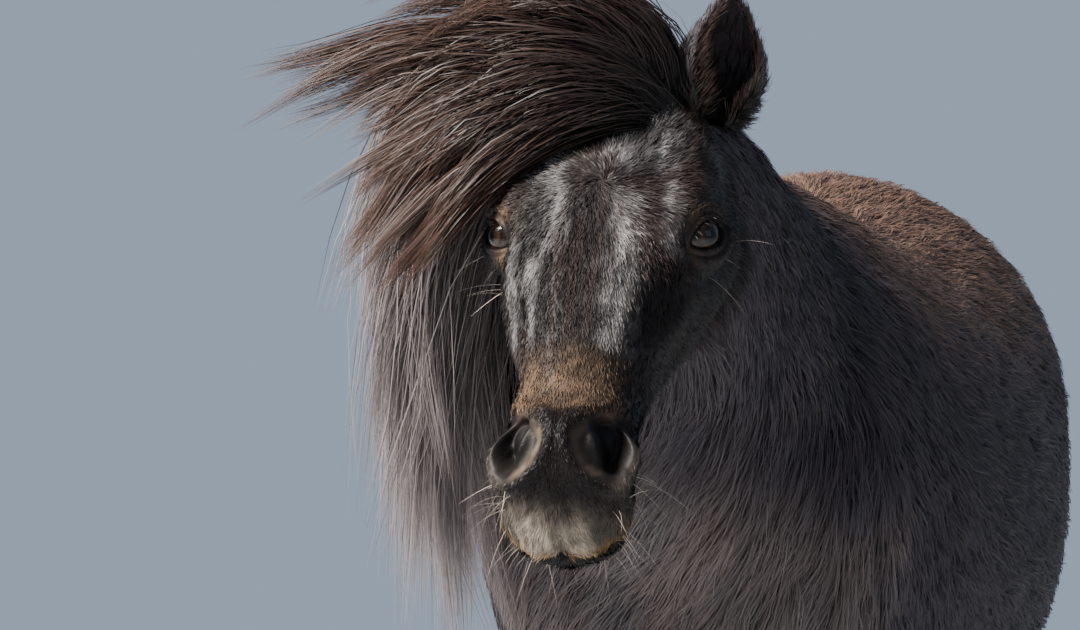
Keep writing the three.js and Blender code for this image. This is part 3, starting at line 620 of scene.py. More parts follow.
def body_surface(inset):
    """Trunk, neck, their swells, legs and dock as overlapping closed surfaces."""
    angles = np.linspace(0, 2 * np.pi, 96, endpoint=False)
    parts = [section_rings(rows_at(TORSO, np.linspace(0, 1, 150)), angles, inset)]
    parts.append(section_rings(rows_at(NECK, np.linspace(0, 1, 80)), angles, inset))
    for centre, halves, lean in TRUNK_SWELLS:
        for side in (-1, 1):
            parts.append(ellipsoid(np.array(centre) * (side, 1, 1), np.array(halves) - inset, lean))
    angles = np.linspace(0, 2 * np.pi, 40, endpoint=False)
    places = np.linspace(0, 1, 130)
    depth = np.interp(places, [0, 0.35, 0.6, 1], [inset, inset, 2.5, 1.5])[:, None]
    for rows in LEGS.values():
        parts.append(section_rings(rows_at(rows, places), angles, depth))
    parts.append(dock_rings((DOCK_RADII[0] - 8, DOCK_RADII[1] - 2)))
    return joined_surfaces([skinned(to_row(rings)) for rings in parts])


# Where things are on the coat

# The whorl on the forehead that the hair of the face lies out from
WHORL = np.array([4.0, -113.0, 58.0])
# Heights between which the coat of the body turns into that of the legs
LEG_SPAN = (560, 440)
# Places down the face between which its hair turns into that of the muzzle
MUZZLE_SPAN = (-330, -352)


def zones(points):
    """
    Weights from 0 to 1 of head, ear, leg, muzzle and chest at points of the pony's frame, and their places
    in the head's frame.
    """
    q = to_head(points)
    head = ramp(q[:, 1] - 0.25 * q[:, 2], 34, 4) * ramp(points[:, 1], -590, -640)
    leg = ramp(points[:, 2], *LEG_SPAN) * ((points[:, 1] < -190) | (points[:, 1] > 235))
    ear = np.zeros(len(points))
    for side in (-1, 1):
        rise, _, _ = ear_axes(side)
        off = points - from_head(EAR_ROOT * (side, 1, 1))
        along = off @ rise
        beside = np.linalg.norm(off - along[:, None] * rise, axis=1)
        ear = np.maximum(ear, ramp(along, 8, 22) * (beside < 52))
    muzzle = head * ramp(q[:, 1], *MUZZLE_SPAN)
    chest = ramp(points[:, 1], -330, -410) * ramp(points[:, 2], 500, 560) * ramp(points[:, 2], 860, 760)
    return {"q": q, "head": head, "ear": ear, "leg": leg, "muzzle": muzzle, "chest": chest * (1 - head)}


def lie_of_coat(points, zone):
    """The way the hair lies: out from the whorl and down the face, back along the trunk, down the legs."""
    q = zone["q"]
    off = q - WHORL
    spread = np.hypot(off[:, 0], off[:, 1])[:, None]
    turn = 0.5 * np.exp(-spread / 30)
    swirl = np.stack([-off[:, 1], off[:, 0], 0 * off[:, 0]], 1)
    face = unit(off * (1, 1, 0) + turn * swirl)
    cheek = unit(np.stack([0.25 * np.sign(q[:, 0]), 0 * q[:, 0] + 0.25, -0.9 + 0 * q[:, 0]], 1))
    side = ramp(q[:, 2], 28, -28)[:, None] * ramp(q[:, 1], -300, -230)[:, None]
    lips = unit(np.stack([0.5 * np.clip(q[:, 0] / 16, -1, 1), -0.8 + 0 * q[:, 0], -0.45 + 0 * q[:, 0]], 1))
    muzzle = zone["muzzle"][:, None]
    on_head = unit(face * (1 - side) + cheek * side) * (1 - muzzle) + lips * muzzle
    away = q - EYE_CENTRE * np.stack([np.sign(q[:, 0]), 1 + 0 * q[:, 0], 1 + 0 * q[:, 0]], 1)
    near = np.exp(-((np.linalg.norm(away, axis=1) / 34) ** 4))[:, None]
    on_head = on_head * (1 - near) + unit(away) * near
    on_head = turned(on_head, 0, HEAD_PITCH)
    x, y, _ = points.T
    back = ramp(y, -330, -60)
    rump = ramp(y, 330, 520)
    fall = -0.9 + 0.5 * back - 0.55 * rump
    trunk = np.stack([0.12 * np.sign(x), 0.5 + 0.4 * back - 0.55 * rump, fall], 1)
    trunk[:, 0] -= 0.55 * zone["chest"]
    trunk[:, 1] -= 0.5 * zone["chest"]
    leg = zone["leg"][:, None]
    flow = trunk * (1 - leg) + np.array([0, 0.12, -1.0]) * leg
    head = zone["head"][:, None]
    flow = unit(flow) * (1 - head) + on_head * head
    for sign in (-1, 1):
        rise, _, _ = ear_axes(sign)
        here = (zone["ear"] * (np.sign(x) == sign))[:, None]
        flow = flow * (1 - here) + rise * here
    return unit(flow)


# How much finer and how much weaker each octave of a random field is than the one before
OCTAVE_FINER = 2.2
OCTAVE_WEAKER = 0.6


def fields(points, scale, seed, octaves=3):
    """A smooth random field from -1 to 1: sums of sines in random directions, finer and weaker by octaves."""
    draw = np.random.default_rng(seed)
    total = np.zeros(len(points))
    size = 0.0
    for octave in range(octaves):
        for _ in range(5):
            way = unit(draw.normal(size=3)) / scale * OCTAVE_FINER**octave * draw.uniform(0.7, 1.4)
            total += np.sin(2 * np.pi * (points @ way) + draw.uniform(0, 6.3)) * OCTAVE_WEAKER**octave
        size += 5 * OCTAVE_WEAKER**octave
    return np.clip(total / size * 2.2, -1, 1)


def mixed(first, second, share):
    """Two colours, or arrays of them, mixed by a share for each point."""
    return np.asarray(first) * (1 - share[:, None]) + np.asarray(second) * share[:, None]


# Painted sheen in streaks down the face: x at the start, lean, half width, start and end down the face,
# strength
SHEEN_STREAKS = [
    (-37, -0.09, 8, -62, -176, 0.95),
    (-30, 0.5, 5, -166, -202, 0.8),
    (-44, -0.12, 4, -192, -268, 0.9),
    (24, -0.05, 11, -128, -272, 0.95),
    (57, -0.1, 7, -112, -166, 0.8),
    (-66, -0.12, 5, -160, -265, 0.9),
    (0, -0.18, 8, -4, -100, 0.8),
    (30, -0.17, 10, -2, -98, 0.8),
    (-52, -0.1, 9, -70, -104, 0.6),
]


def face_colours(zone, clumps, colour):
    """Roots and tips of the face's hair: dark, with brown stripes, streaks of painted sheen and a tan nose
    band.
    """
    q = zone["q"]
    front = zone["head"] * ramp(q[:, 2], -14, 12) * (1 - zone["ear"])
    warp = 3.5 * fields(q, 36, SEED + 7, 2)
    fine = 0.55 + 0.45 * fields(q * (1, 0.18, 0.5), 9, SEED + 8, 2)
    # Painted sheen: a pale colour on the front of the face where its glossy hair catches the light, in
    # patches and streaks
    silver = 0.02 + 0.16 * ramp(q[:, 1], -104, -78) * ramp(fields(q, 34, SEED + 10, 2), -0.5, 0.6)
    for across, lean, width, start, end, amount in SHEEN_STREAKS:
        off = q[:, 0] + warp - across - lean * (q[:, 1] - start)
        inside = ramp(q[:, 1], start + 14, start - 10), ramp(q[:, 1], end - 12, end + 14)
        silver = silver + amount * bell(off, 0, width) * inside[0] * inside[1]
    silver = front * np.clip(silver, 0, 1) * fine
    stripes = front * ramp(fields(q * (1, 0.2, 0.5), 30, SEED + 11, 2), -0.2, 0.6)
    tip = mixed(mixed(colour.face, colour.brown, 0.7 * stripes), colour.silver, silver)
    root = mixed(colour.root, colour.silver, 0.3 * silver)
    tan = ramp(q[:, 1] + 2 * warp, -256, -312) * ramp(q[:, 1], -352, -338) * ramp(q[:, 2], 2, 24)
    tan = tan * (0.6 + 0.4 * ramp(q[:, 0], 34, -14)) * (1 - 0.25 * clumps)
    tan = tan * (0.45 + 0.55 * ramp(fields(q, 30, SEED + 9, 2), -0.5, 0.6))
    return mixed(root, colour.brown, tan * 0.7), mixed(tip, colour.tan, tan * 0.8)


def muzzle_colours(root, tip, zone, colour):
    """The muzzle over the face: dark skin, pale lobes of the upper lip, its yellow edge, the nostrils,
    painted light and shade.
    """
    q, muzzle = zone["q"], zone["muzzle"]
    tip = mixed(tip, colour.muzzle, muzzle)
    root = mixed(root, colour.muzzle, muzzle)
    height, ahead = mouth_height(q)
    lip = muzzle * ramp(height, 56, 20) * ramp(height, -1, 4) * ramp(ahead, 30, 62)
    edge = muzzle * ramp(height, 16, 7) * ramp(height, 0, 3) * ramp(ahead, 44, 74)
    near, aside = nostril_place(q)
    rim = muzzle * bell(near, 1.12, 0.12) * ramp(aside, -14, 12) * ramp(q[:, 2], 30, 6)
    # Painted light on the inner wall of each nostril, strongest on the right: pale hair over tan roots
    lit_nostril_wall = muzzle * bell(near, 0.7, 0.22) * ramp(aside, -2, -16) * np.where(q[:, 0] < 0, 1, 0.3)
    # Pale lobes of the upper lip, the left one fainter and narrower: painted shade on the side away from the
    # key light
    lobes_and_left_shade = 0.15 + bell(q[:, 0], -19, 18) + 0.75 * bell(q[:, 0], 14, 9)
    speckle = 0.65 + 0.35 * fields(q, 12, SEED + 12, 2)
    pale = np.clip(1.15 * lip * lobes_and_left_shade + 0.3 * rim + 0.4 * lit_nostril_wall, 0, 1) * speckle
    tip = mixed(mixed(tip, colour.pale, pale), colour.yellow, 0.6 * edge)
    root = mixed(mixed(root, colour.pale, 0.6 * pale), colour.yellow, 0.35 * edge)
    root = mixed(root, colour.tan, 0.36 * lit_nostril_wall * speckle)
    # Deep inside the nostrils the dark skin turns near black: painted shade in the hollow
    return mixed(root, colour.pupil, 0.9 * muzzle * ramp(near, 0.95, 0.6)), tip


def lid_colours(root, tip, zone, colour):
    """The eyes' surroundings over the face: dark lids, and tan spots at the inner corner and the brow."""
    q, head = zone["q"], zone["head"]
    out, along, up = eye_place(q)
    ring = np.hypot(along / (LID_HALF_LENGTH + 6), up / (LID_RISE[0] + 5))
    root = mixed(root, colour.muzzle, head * ramp(ring, 1.25, 0.9) * (out > 0))
    corner = head * np.exp(-((along - 22) ** 2 + (up + 6) ** 2) / 60) * (out > 0)
    brow = head * np.exp(-((along - 6) ** 2 + (up - 21) ** 2) / 50) * (out > 0)
    spots = (0.8 * corner + 0.7 * brow) * np.where(q[:, 0] < 0, 1, 0.35)
    return root, mixed(tip, colour.tan, np.clip(spots, 0, 1))


def coat_colours(points, normals, zone, colour):
    """The markings and painted light, read by skin and coat alike: colours at the roots and at the tips of
    the hair.
    """
    _, y, z = points.T
    patch = fields(points, 90, SEED + 5)
    root = mixed(colour.root, colour.coat, 0.5 + 0.25 * patch)
    tip = mixed(colour.coat, colour.brown, 0.22 + 0.22 * patch)
    # Copper along the back where the coat faces up: sun-bleached tips, and painted sunlight on the top of the
    # back
    bleached_and_sunlit = ramp(normals[:, 2], 0.1, 0.8) * ramp(y, -330, -120) * ramp(z, 740, 900)
    clumps = 0.5 + 0.5 * fields(points, 60, SEED + 6)
    tip = mixed(tip, colour.copper, bleached_and_sunlit * (0.6 + 0.4 * clumps))
    root = mixed(root, colour.brown, bleached_and_sunlit * 0.6)
    # Painted light on the front of the chest: its tips paler with the sheen colour, and copper in clumps
    chest = zone["chest"] * ramp(z, 770, 690)
    tip = mixed(mixed(tip, colour.silver, 0.24 * chest), colour.copper, 0.3 * chest * clumps)
    face_root, face_tip = face_colours(zone, clumps, colour)
    face_root, face_tip = muzzle_colours(face_root, face_tip, zone, colour)
    face_root, face_tip = lid_colours(face_root, face_tip, zone, colour)
    root, tip = mixed(root, face_root, zone["head"]), mixed(tip, face_tip, zone["head"])
    inner = zone["ear"] * 0.5
    return mixed(root, colour.coat, inner), mixed(tip, colour.mane, inner)


def coat_length(points, zone):
    """Length of the hair in mm: short on face, ears and cannons, longest on chest, belly and jaw."""
    q = zone["q"]
    _, y, z = points.T
    face = 8 + 8 * ramp(q[:, 2], 10, -40) + 14 * ramp(q[:, 2], -70, -110) + 6 * ramp(q[:, 1], -60, 0)
    face = face * (1 - 0.3 * zone["muzzle"]) * (1 - 0.25 * ramp(q[:, 1], -180, -260))
    out, along, up = eye_place(q)
    near_eye = np.exp(-(along**2 + up**2) / 900) * (out > 0)
    face *= 1 - 0.72 * near_eye
    body = 20 + 16 * ramp(z, 560, 480) + 34 * zone["chest"] + 6 * ramp(y, -60, 60)
    leg = 26 - 14 * ramp(z, 430, 300)
    length = body * (1 - zone["leg"]) + leg * zone["leg"]
    length = length * (1 - zone["head"]) + face * zone["head"]
    return length * (1 - zone["ear"]) + 9 * zone["ear"]


def unwrap(points, zone):
    """Each place's spot on the unwrapped skin: head, trunk and legs rolled flat side by side, from 0 to 1."""
    q = zone["q"]
    x, y, z = points.T
    round_head = np.arctan2(q[:, 0], q[:, 2] + 20) / (2 * np.pi) + 0.5
    head = np.stack([0.02 + 0.26 * round_head, 0.02 + 0.94 * np.clip((60 - q[:, 1]) / 490, 0, 1)], 1)
    round_trunk = np.arctan2(x, z - 730) / (2 * np.pi) + 0.5
    trunk = np.stack([0.31 + 0.42 * round_trunk, 0.02 + 0.94 * np.clip((y + 800) / 1500, 0, 1)], 1)
    which = (x > 0) * 1 + (y > 0) * 2
    middle = np.where(y > 0, 475, -300)
    round_leg = np.arctan2(np.abs(x) - 110, y - middle) / (2 * np.pi) + 0.5
    leg = np.stack([0.76 + 0.058 * which + 0.05 * round_leg, 0.02 + 0.94 * np.clip(z / 620, 0, 1)], 1)
    spot = np.where(zone["leg"][:, None] > 0.5, leg, trunk)
    return np.where(zone["head"][:, None] > 0.5, head, spot)


# Coat and hair

# Side of the patch that each tuft or strand takes on the unwrapped skin
BAKE_PATCH = 0.003
COLOUR_LAYER = "hair colour"


def paint(made, colours):
    """Puts a linear colour on each vertex as the attribute that the materials of coat and skin read."""
    layer = made.data.color_attributes.new(COLOUR_LAYER, "FLOAT_COLOR", "POINT")
    rgba = np.ones((len(colours), 4), np.float32)
    rgba[:, :3] = np.clip(colours, 0, 1)
    layer.data.foreach_set("color", rgba.ravel())


def blades(name, spines, sides, widths, colours, roots_uv):
    """
    Tapered blades along spines (count, rows, 3): each row but the last is two points a width apart across the
    spine, and the last is the tip. Colours and bake patches go with them.
    """
    count, rows = spines.shape[:2]
    half = (sides * widths[..., None] / 2)[:, :-1]
    body = spines[:, :-1]
    pairs = np.stack([body - half, body + half], 2).reshape(count, -1, 3)
    points = np.concatenate([pairs, spines[:, -1:]], 1)
    each = 2 * rows - 1
    start = np.arange(count)[:, None, None] * each
    rungs = np.arange(rows - 2) * 2
    quads = start + np.stack([rungs, rungs + 1, rungs + 3, rungs + 2], -1)
    tips = start + np.array([[each - 3, each - 2, each - 1]])
    made = make_object(name, points.reshape(-1, 3), quads, tips)
    shades = np.concatenate([np.repeat(colours[:, :-1], 2, 1), colours[:, -1:]], 1)
    paint(made, shades.reshape(-1, 3))
    t = np.linspace(0, 1, rows)
    across = np.tile((0.0, 1.0), rows - 1)
    local = np.stack([np.append(across, 0.5), np.append(np.repeat(t[:-1], 2), 1)], -1) - 0.5
    uv = (roots_uv[:, None] + BAKE_PATCH * local[None]).reshape(-1, 2)
    layer = made.data.uv_layers.new(name="OFBake")
    corners = np.empty(len(made.data.loops), np.int32)
    made.data.loops.foreach_get("vertex_index", corners)
    layer.data.foreach_set("uv", uv[corners].astype(np.float32).ravel())
    return made


def scattered(mesh, density, count, draw):
    """Places on a mesh drawn by area times density, in row metres, with their normals."""
    mesh.calc_loop_triangles()
    triangles = np.empty(len(mesh.loop_triangles) * 3, np.int32)
    mesh.loop_triangles.foreach_get("vertices", triangles)
    triangles = triangles.reshape(-1, 3)
    points, normals = mesh_arrays(mesh)
    a, b, c = (points[triangles[:, k]] for k in range(3))
    area = np.linalg.norm(np.cross(b - a, c - a), axis=1)
    weight = np.cumsum(area * np.maximum(density(from_row((a + b + c) / 3)), 0))
    pick = np.searchsorted(weight, draw.random(count) * weight[-1])
    u, v = draw.random((2, count, 1))
    flip = u + v > 1
    u, v = np.where(flip, 1 - u, u), np.where(flip, 1 - v, v)
    place = a[pick] * (1 - u - v) + b[pick] * u + c[pick] * v
    normal = normals[triangles[pick]]
    normal = unit(normal[:, 0] * (1 - u - v) + normal[:, 1] * u + normal[:, 2] * v)
    return place, normal


def bare_parts(zone):
    """1 where hair grows and 0 inside the nostrils, on the lips' edges and between the lids."""
    q = zone["q"]
    near, _ = nostril_place(q)
    height, ahead = mouth_height(q)
    out, along, up = eye_place(q)
    lids = np.hypot(along / (LID_HALF_LENGTH + 3), up / (LID_RISE[0] + 3))
    grows = ramp(near, 0.96, 1.06)
    grows *= 1 - (ahead > 0) * bell(height, 0, 4.5)
    grows *= np.where(out > 0, ramp(lids, 0.98, 1.1), 1)
    return np.where(zone["head"] > 0.5, grows, 1)


def coat_piece(name, skin, density, count, rows, shape, seed, colour):
    """Tufts over a part of the skin: each rises at an angle, bends over along the lie and tapers to a tip."""
    draw = np.random.default_rng(SEED + seed)
    place, normal = scattered(skin.data, density, count, draw)
    own = from_row(place)
    zone = zones(own)
    keep = draw.random(count) < bare_parts(zone)
    place, normal, own = place[keep], normal[keep], own[keep]
    zone = {key: value[keep] for key, value in zone.items()}
    count = len(place)
    lie = lie_of_coat(own, zone)
    wander = fields(own, shape.clump, SEED + seed + 1, 2)[:, None]
    lie = unit(lie - normal * np.einsum("ij,ij->i", lie, normal)[:, None])
    across = np.cross(normal, lie)
    lie = unit(lie + across * (0.28 * wander + draw.normal(0, shape.scatter, (count, 1))))
    across = np.cross(normal, lie)
    length = coat_length(own, zone) * draw.uniform(0.7, 1.25, count) * (1 + 0.2 * wander[:, 0]) * MM
    lift = (shape.lift * draw.uniform(0.5, 1.5, count) + 0.12 * wander[:, 0])[:, None, None]
    t = np.linspace(0, 1, rows)[None, :, None]
    reach = length[:, None, None]
    rise = lift * (t - 0.62 * t**2)
    wave = shape.wave * np.sin(2 * np.pi * (0.9 * t + draw.random((count, 1, 1)))) * t
    spine = place[:, None] - normal[:, None] * shape.depth * MM
    spine = spine + reach * (lie[:, None] * t + normal[:, None] * rise + across[:, None] * wave)
    roll = draw.normal(0, 0.5, (count, 1))
    sides = np.repeat((across * np.cos(roll) + normal * np.sin(roll))[:, None], rows, 1)
    width = shape.width * MM * draw.uniform(0.7, 1.3, count)[:, None] * (1 - t[..., 0]) ** 0.65
    width = width * np.where(zone["muzzle"] > 0.5, 0.75, 1)[:, None]
    root, tip = coat_colours(own, normal, zone, colour)
    tone = draw.uniform(0.8, 1.25, (count, 1))
    shade = t**0.8
    colours = (root * tone)[:, None] * (1 - shade) + (tip * tone)[:, None] * shade
    return blades(name, spine, sides, width, colours, unwrap(own, zone))


# Share of the strands that stray from their lock, and how much further they stand off
STRAY_SHARE = 0.07
STRAY_REACH = 1.8


def lock_strands(controls, spreads, per_lock, rows, wave, draw):
    """
    Strands gathered into locks: each strand's Bezier controls stand off its lock's by a random step that
    narrows to the tip, and it waves with its lock by sin(2 pi (turns t + phase)), more towards the tip.
    """
    count = len(controls)
    step = draw.normal(0, 1, (count, per_lock, 1, 3)) * np.asarray(spreads)[None, None, :, None]
    step *= np.where(draw.random((count, per_lock, 1, 1)) < STRAY_SHARE, STRAY_REACH, 1)
    own = controls[:, None] + step
    t = np.linspace(0, 1, rows)
    trimmed = t[None, None] * draw.uniform(0.78, 1.0, (count, per_lock, 1))
    s = 1 - trimmed
    weights = np.stack([s**3, 3 * s * s * trimmed, 3 * s * trimmed**2, trimmed**3], -1)
    spine = np.einsum("clnk,clkd->clnd", weights, own)
    way = unit(draw.normal(0, 1, (count, 1, 1, 3)))
    phase = draw.random((count, 1, 1, 1)) + draw.normal(0, 0.06, (count, per_lock, 1, 1))
    turns = draw.uniform(0.9, 2.1, (count, 1, 1, 1))
    bend = wave * draw.uniform(0.4, 1.4, (count, 1, 1, 1)) * trimmed[..., None] ** 1.3
    spine = spine + way * bend * np.sin(2 * np.pi * (turns * trimmed[..., None] + phase))
    return spine.reshape(count * per_lock, rows, 3)


def hair_piece(name, spine, width, root, middle, tip, draw, facing):
    """Strands in the pony's frame, dark at the root and lighter at the tip, each rolled a little."""
    count, rows = spine.shape[:2]
    along = unit(np.gradient(spine, axis=1))
    side = unit(np.cross(along, np.asarray(facing, float) + draw.normal(0, 0.5, (count, 1, 3))))
    t = np.linspace(0, 1, rows)[None]
    taper = np.minimum(1, 0.45 + 2 * t) * (1 - t**2.5) ** 0.8
    widths = width * draw.uniform(0.6, 1.35, (count, 1)) * taper * MM
    tone = draw.uniform(0.65, 1.45, (count, 1, 1))
    share = np.clip(t * draw.uniform(0.8, 1.3, (count, 1)), 0, 1)[..., None]
    colours = np.where(
        share < 0.5,
        np.asarray(root) * (1 - 2 * share) + np.asarray(middle) * 2 * share,
        np.asarray(middle) * (2 - 2 * share) + np.asarray(tip) * (2 * share - 1),
    )
    roots = spine[:, 0]
    return blades(name, to_row(spine), side, widths, colours * tone, unwrap(roots, zones(roots)))


# Mane, forelock and tail

# The stretch of the neck's rows that carries the mane, from the poll to the withers
CREST_SPAN = (0.9, 0.15)


def crest_at(place):
    """Top of the neck and its half width, from the poll (0) to the withers (1)."""
    rows = rows_at(NECK, CREST_SPAN[0] + (CREST_SPAN[1] - CREST_SPAN[0]) * place)
    return np.stack([0 * place, rows[:, 1], rows[:, 2]], 1), rows[:, 5]


def blended(root, low, high, share):
    """Control points between two hanging ways of the same locks, given as steps from the root."""
    ways = [[np.stack(np.broadcast_arrays(*step), -1) for step in way] for way in (low, high)]
    low, high = (np.stack(way, 1) for way in ways)
    return root[:, None] + low + (high - low) * share[:, None, None]


def mane_controls(place, lift, length, jitter):
    """Mane locks between hanging down the right side of the neck (lift 0) and blown out (lift 1)."""
    top, half = crest_at(place)
    root = top + (0, 0, -12)
    drop = MANE_LENGTH * length
    zero = 0 * place
    hanging = [
        (zero, zero, zero),
        (-half - 42, zero - 10, zero + 40),
        (-half - 96, zero - 14, -0.36 * drop),
        (-half - 62 - 50 * jitter, 10 + 26 * jitter, -drop),
    ]
    blown = [
        (zero, zero, zero),
        (zero - 88, zero - 12, zero + 78),
        (zero - 236, zero - 34, zero + 40),
        (-0.66 * drop - 20, -26 + 30 * jitter, -0.24 * drop + 40 * jitter),
    ]
    return blended(root, hanging, blown, lift)


def forelock_controls(across, back, lift, length, jitter):
    """Forelock locks between falling over the right brow (lift 0) and flying level with the ears (lift 1)."""
    root = from_head(np.stack([across, -back, 0 * across + 38], 1))
    zero = 0 * across
    low = [
        (zero, zero, zero),
        (zero - 42, zero - 48, zero + 22),
        (-112 - 0.5 * across, zero - 74, zero - 62),
        (-186 * length - 0.5 * across, zero - 52, -158 * length + 20 * jitter),
    ]
    high = [
        (zero, zero, zero),
        (zero - 44, zero - 20, zero + 70),
        (zero - 164, zero - 34, zero + 66),
        (-284 * length, -20 + 20 * jitter, 16 + 30 * jitter),
    ]
    return blended(root, low, high, lift)


def crown_controls(across, length, jitter):
    """Locks that stand up behind the forelock, beside the left ear, and fall over to the right."""
    root = from_head(np.stack([across, 10 + 14 * jitter, 0 * across + 40], 1))
    zero = 0 * across
    steps = [
        (zero, zero, zero),
        (zero - 6, zero + 8, zero + 76),
        (zero - 118, zero - 12, 100 + 10 * jitter),
        (-240 * length, -18 + 24 * jitter, 48 + 30 * jitter),
    ]
    return blended(root, steps, steps, zero)


def tail_controls(count, draw):
    """Tail locks from all round the dock, swelling out and falling nearly to the ground."""
    share = (np.arange(count) + 0.5) / count
    angle = np.arange(count) * np.pi * (3 - np.sqrt(5))
    across, back = np.sin(angle), -np.cos(angle)
    root = bezier(DOCK, 0.08 + 0.9 * share)
    swell = (68 - 36 * share) * draw.uniform(0.4, 1.1, count)
    tip = TAIL_TIP_HEIGHT + (330 - TAIL_TIP_HEIGHT) * draw.random(count) ** 2.2
    middle = root[:, 2] + (tip - root[:, 2]) * 0.45
    steps = [
        (root[:, 0], root[:, 1], root[:, 2]),
        (across * swell, root[:, 1] + 18 + np.maximum(back, -0.4) * swell, root[:, 2] - 26),
        (across * swell * 1.7, 668 + np.maximum(back, -0.7) * swell, middle),
        (across * swell * 0.9, 650 + back * swell * 0.7, tip),
    ]
    return np.stack([np.stack(step, -1) for step in steps], 1)


def on_skin(skin, points):
    """The nearest places of the skin to points of the pony's frame, in row metres, with their normals."""
    hits = [skin.closest_point_on_mesh(point)[1:3] for point in to_row(points).tolist()]
    place, normal = np.array([[list(a), list(b)] for a, b in hits]).transpose(1, 0, 2)
    return place, normal


def arched(place, way, droop, length, rows):
    """Spines that set off along a way and bend over by a droop: p + L (way t + droop t^2)."""
    t = np.linspace(0, 1, rows)[None, :, None]
    return place[:, None] + np.asarray(length).reshape(-1, 1, 1) * (way[:, None] * t + droop[:, None] * t**2)


def hair_row(name, spine, width, root, tip, draw):
    """Single fine hairs given in row metres, thin tapered blades in a few random rolls."""
    count, rows = spine.shape[:2]
    along = unit(np.gradient(spine, axis=1))
    side = unit(np.cross(along, draw.normal(0, 1, (count, 1, 3))))
    t = np.linspace(0, 1, rows)[None]
    widths = width * MM * draw.uniform(0.7, 1.3, (count, 1)) * (1 - 0.9 * t**1.5)
    share = t[..., None]
    colours = np.asarray(root) * (1 - share) + np.asarray(tip) * share
    colours = colours * draw.uniform(0.8, 1.2, (count, 1, 1))
    own = from_row(spine[:, 0])
    return blades(name, spine, side, widths, colours, unwrap(own, zones(own)))


def whiskers(skin, draw):
    """Whiskers of lips, chin and nostrils, longest beside the nostrils, and a few under each eye."""
    count = 84
    side = draw.choice([-1.0, 1.0], count)
    z = draw.uniform(-106, 4, count)
    inner = 34 - 30 * ramp(z, -62, -90)
    root = np.stack([side * draw.uniform(inner, 52), draw.uniform(-402, -340, count), z], 1)
    near, _ = nostril_place(root)
    root = root[near > 1.25]
    few = 14
    under = EYE_CENTRE * np.stack([draw.choice([-1.0, 1.0], few), np.ones(few), np.ones(few)], 1)
    under += np.stack([0 * under[:, 0], draw.uniform(-34, 20, few), draw.uniform(-34, -26, few)], 1)
    place, normal = on_skin(skin, from_head(np.concatenate([root, under])))
    everyone = len(place)
    way = unit(normal + draw.normal(0, 0.28, (everyone, 3)))
    droop = np.array([0, 0, -0.35]) + draw.normal(0, 0.12, (everyone, 3))
    length = draw.uniform(18, 52, everyone) * MM
    return arched(place - normal * MM, way, droop, length, 8)


def lashes(draw):
    """Upper lashes along the almond edge of the lids, out and down, and shorter lower ones."""
    spines = []
    for side in (-1, 1):
        for upper, count, size in ((1, 40, 10.0), (-1, 14, 5.0)):
            angle = np.linspace(0.25, np.pi - 0.25, count) + draw.normal(0, 0.03, count)
            along = (LID_HALF_LENGTH + 0.5) * np.cos(angle)
            up = upper * LID_RISE[0 if upper > 0 else 1] * np.sin(angle)
            up = up * (1 - LID_PINCH * np.cos(angle) ** 4)
            lift = np.sqrt(EYE_RADIUS**2 - along**2 - up**2) + 1.6
            axes = np.array(eye_frame())
            root = EYE_CENTRE + np.stack([lift, along, up], 1) @ axes
            way = unit(np.stack([0 * up + 1, 0.35 * np.cos(angle), 0 * up + 0.15 * upper], 1) @ axes)
            way = unit(way + draw.normal(0, 0.12, (count, 3)))
            droop = np.broadcast_to(axes[2] * (-0.55 if upper > 0 else -0.2), (count, 3))
            length = size * draw.uniform(0.7, 1.15, count)
            spine = arched(root, way, droop, length, 6) * (side, 1, 1)
            spines.append(to_row(from_head(spine)))
    return np.concatenate(spines)


def ear_hairs(draw):
    """Soft hair inside the ears, from the cup's inner wall and edges up and out over the opening."""
    spines = []
    for side in (-1, 1):
        count = 1500
        rise, opening, across = ear_axes(side)
        t = draw.beta(1.1, 1.5, count) * 0.86 + 0.03
        radius, gap = rows_at(EAR, t).T
        turn = draw.random(count)
        edge = draw.random(count) < 0.55
        turn = np.where(edge, np.where(turn < 0.5, 0.0, 1.0) + draw.normal(0, 0.03, count), turn)
        angle = gap + (2 * np.pi - 2 * gap) * np.clip(turn, 0, 1)
        reach = radius - EAR_WALL - 1.2
        sideways = across * np.sin(angle)[:, None]
        root = ear_centre(side, t) + opening * (reach * 0.82 * np.cos(angle))[:, None]
        root = root + sideways * reach[:, None]
        way = unit(rise * 0.75 + opening * 0.55 - sideways * 0.35 + draw.normal(0, 0.16, (count, 3)))
        droop = np.broadcast_to(opening * 0.15 + rise * 0.2, (count, 3))
        length = draw.uniform(12, 27, count) * (1 - 0.45 * t)
        spines.append(to_row(arched(root, way, droop, length, 6)))
    return np.concatenate(spines)


def feather(skin, draw):
    """Longer hair behind the fetlocks and pasterns, falling over the heels."""
    spines = []
    for rows in LEGS.values():
        count = 900
        x, _, _, low_y, low_z, half = rows_at(rows, draw.uniform(0.66, 0.93, count)).T[:6]
        angle = draw.uniform(-0.15, np.pi + 0.15, count)
        root = np.stack([x + half * np.cos(angle), low_y + (half * np.sin(angle) - half * 0.4), low_z], 1)
        place, normal = on_skin(skin, root)
        way = unit(normal * 0.45 + (0, 0.25, -0.9) + draw.normal(0, 0.1, (count, 3)))
        droop = np.broadcast_to((0, -0.05, -0.25), (count, 3))
        length = draw.uniform(22, 50, count) * np.where(normal[:, 1] > -0.2, 1, 0.5) * MM
        floor = 0.006 + draw.uniform(0, 0.02, count)
        length = np.minimum(length, np.maximum(place[:, 2] - floor, 0.002) / 1.15)
        spines.append(arched(place - normal * MM, way, droop, length, 6))
    return np.concatenate(spines)


# Skin, eyes and hooves

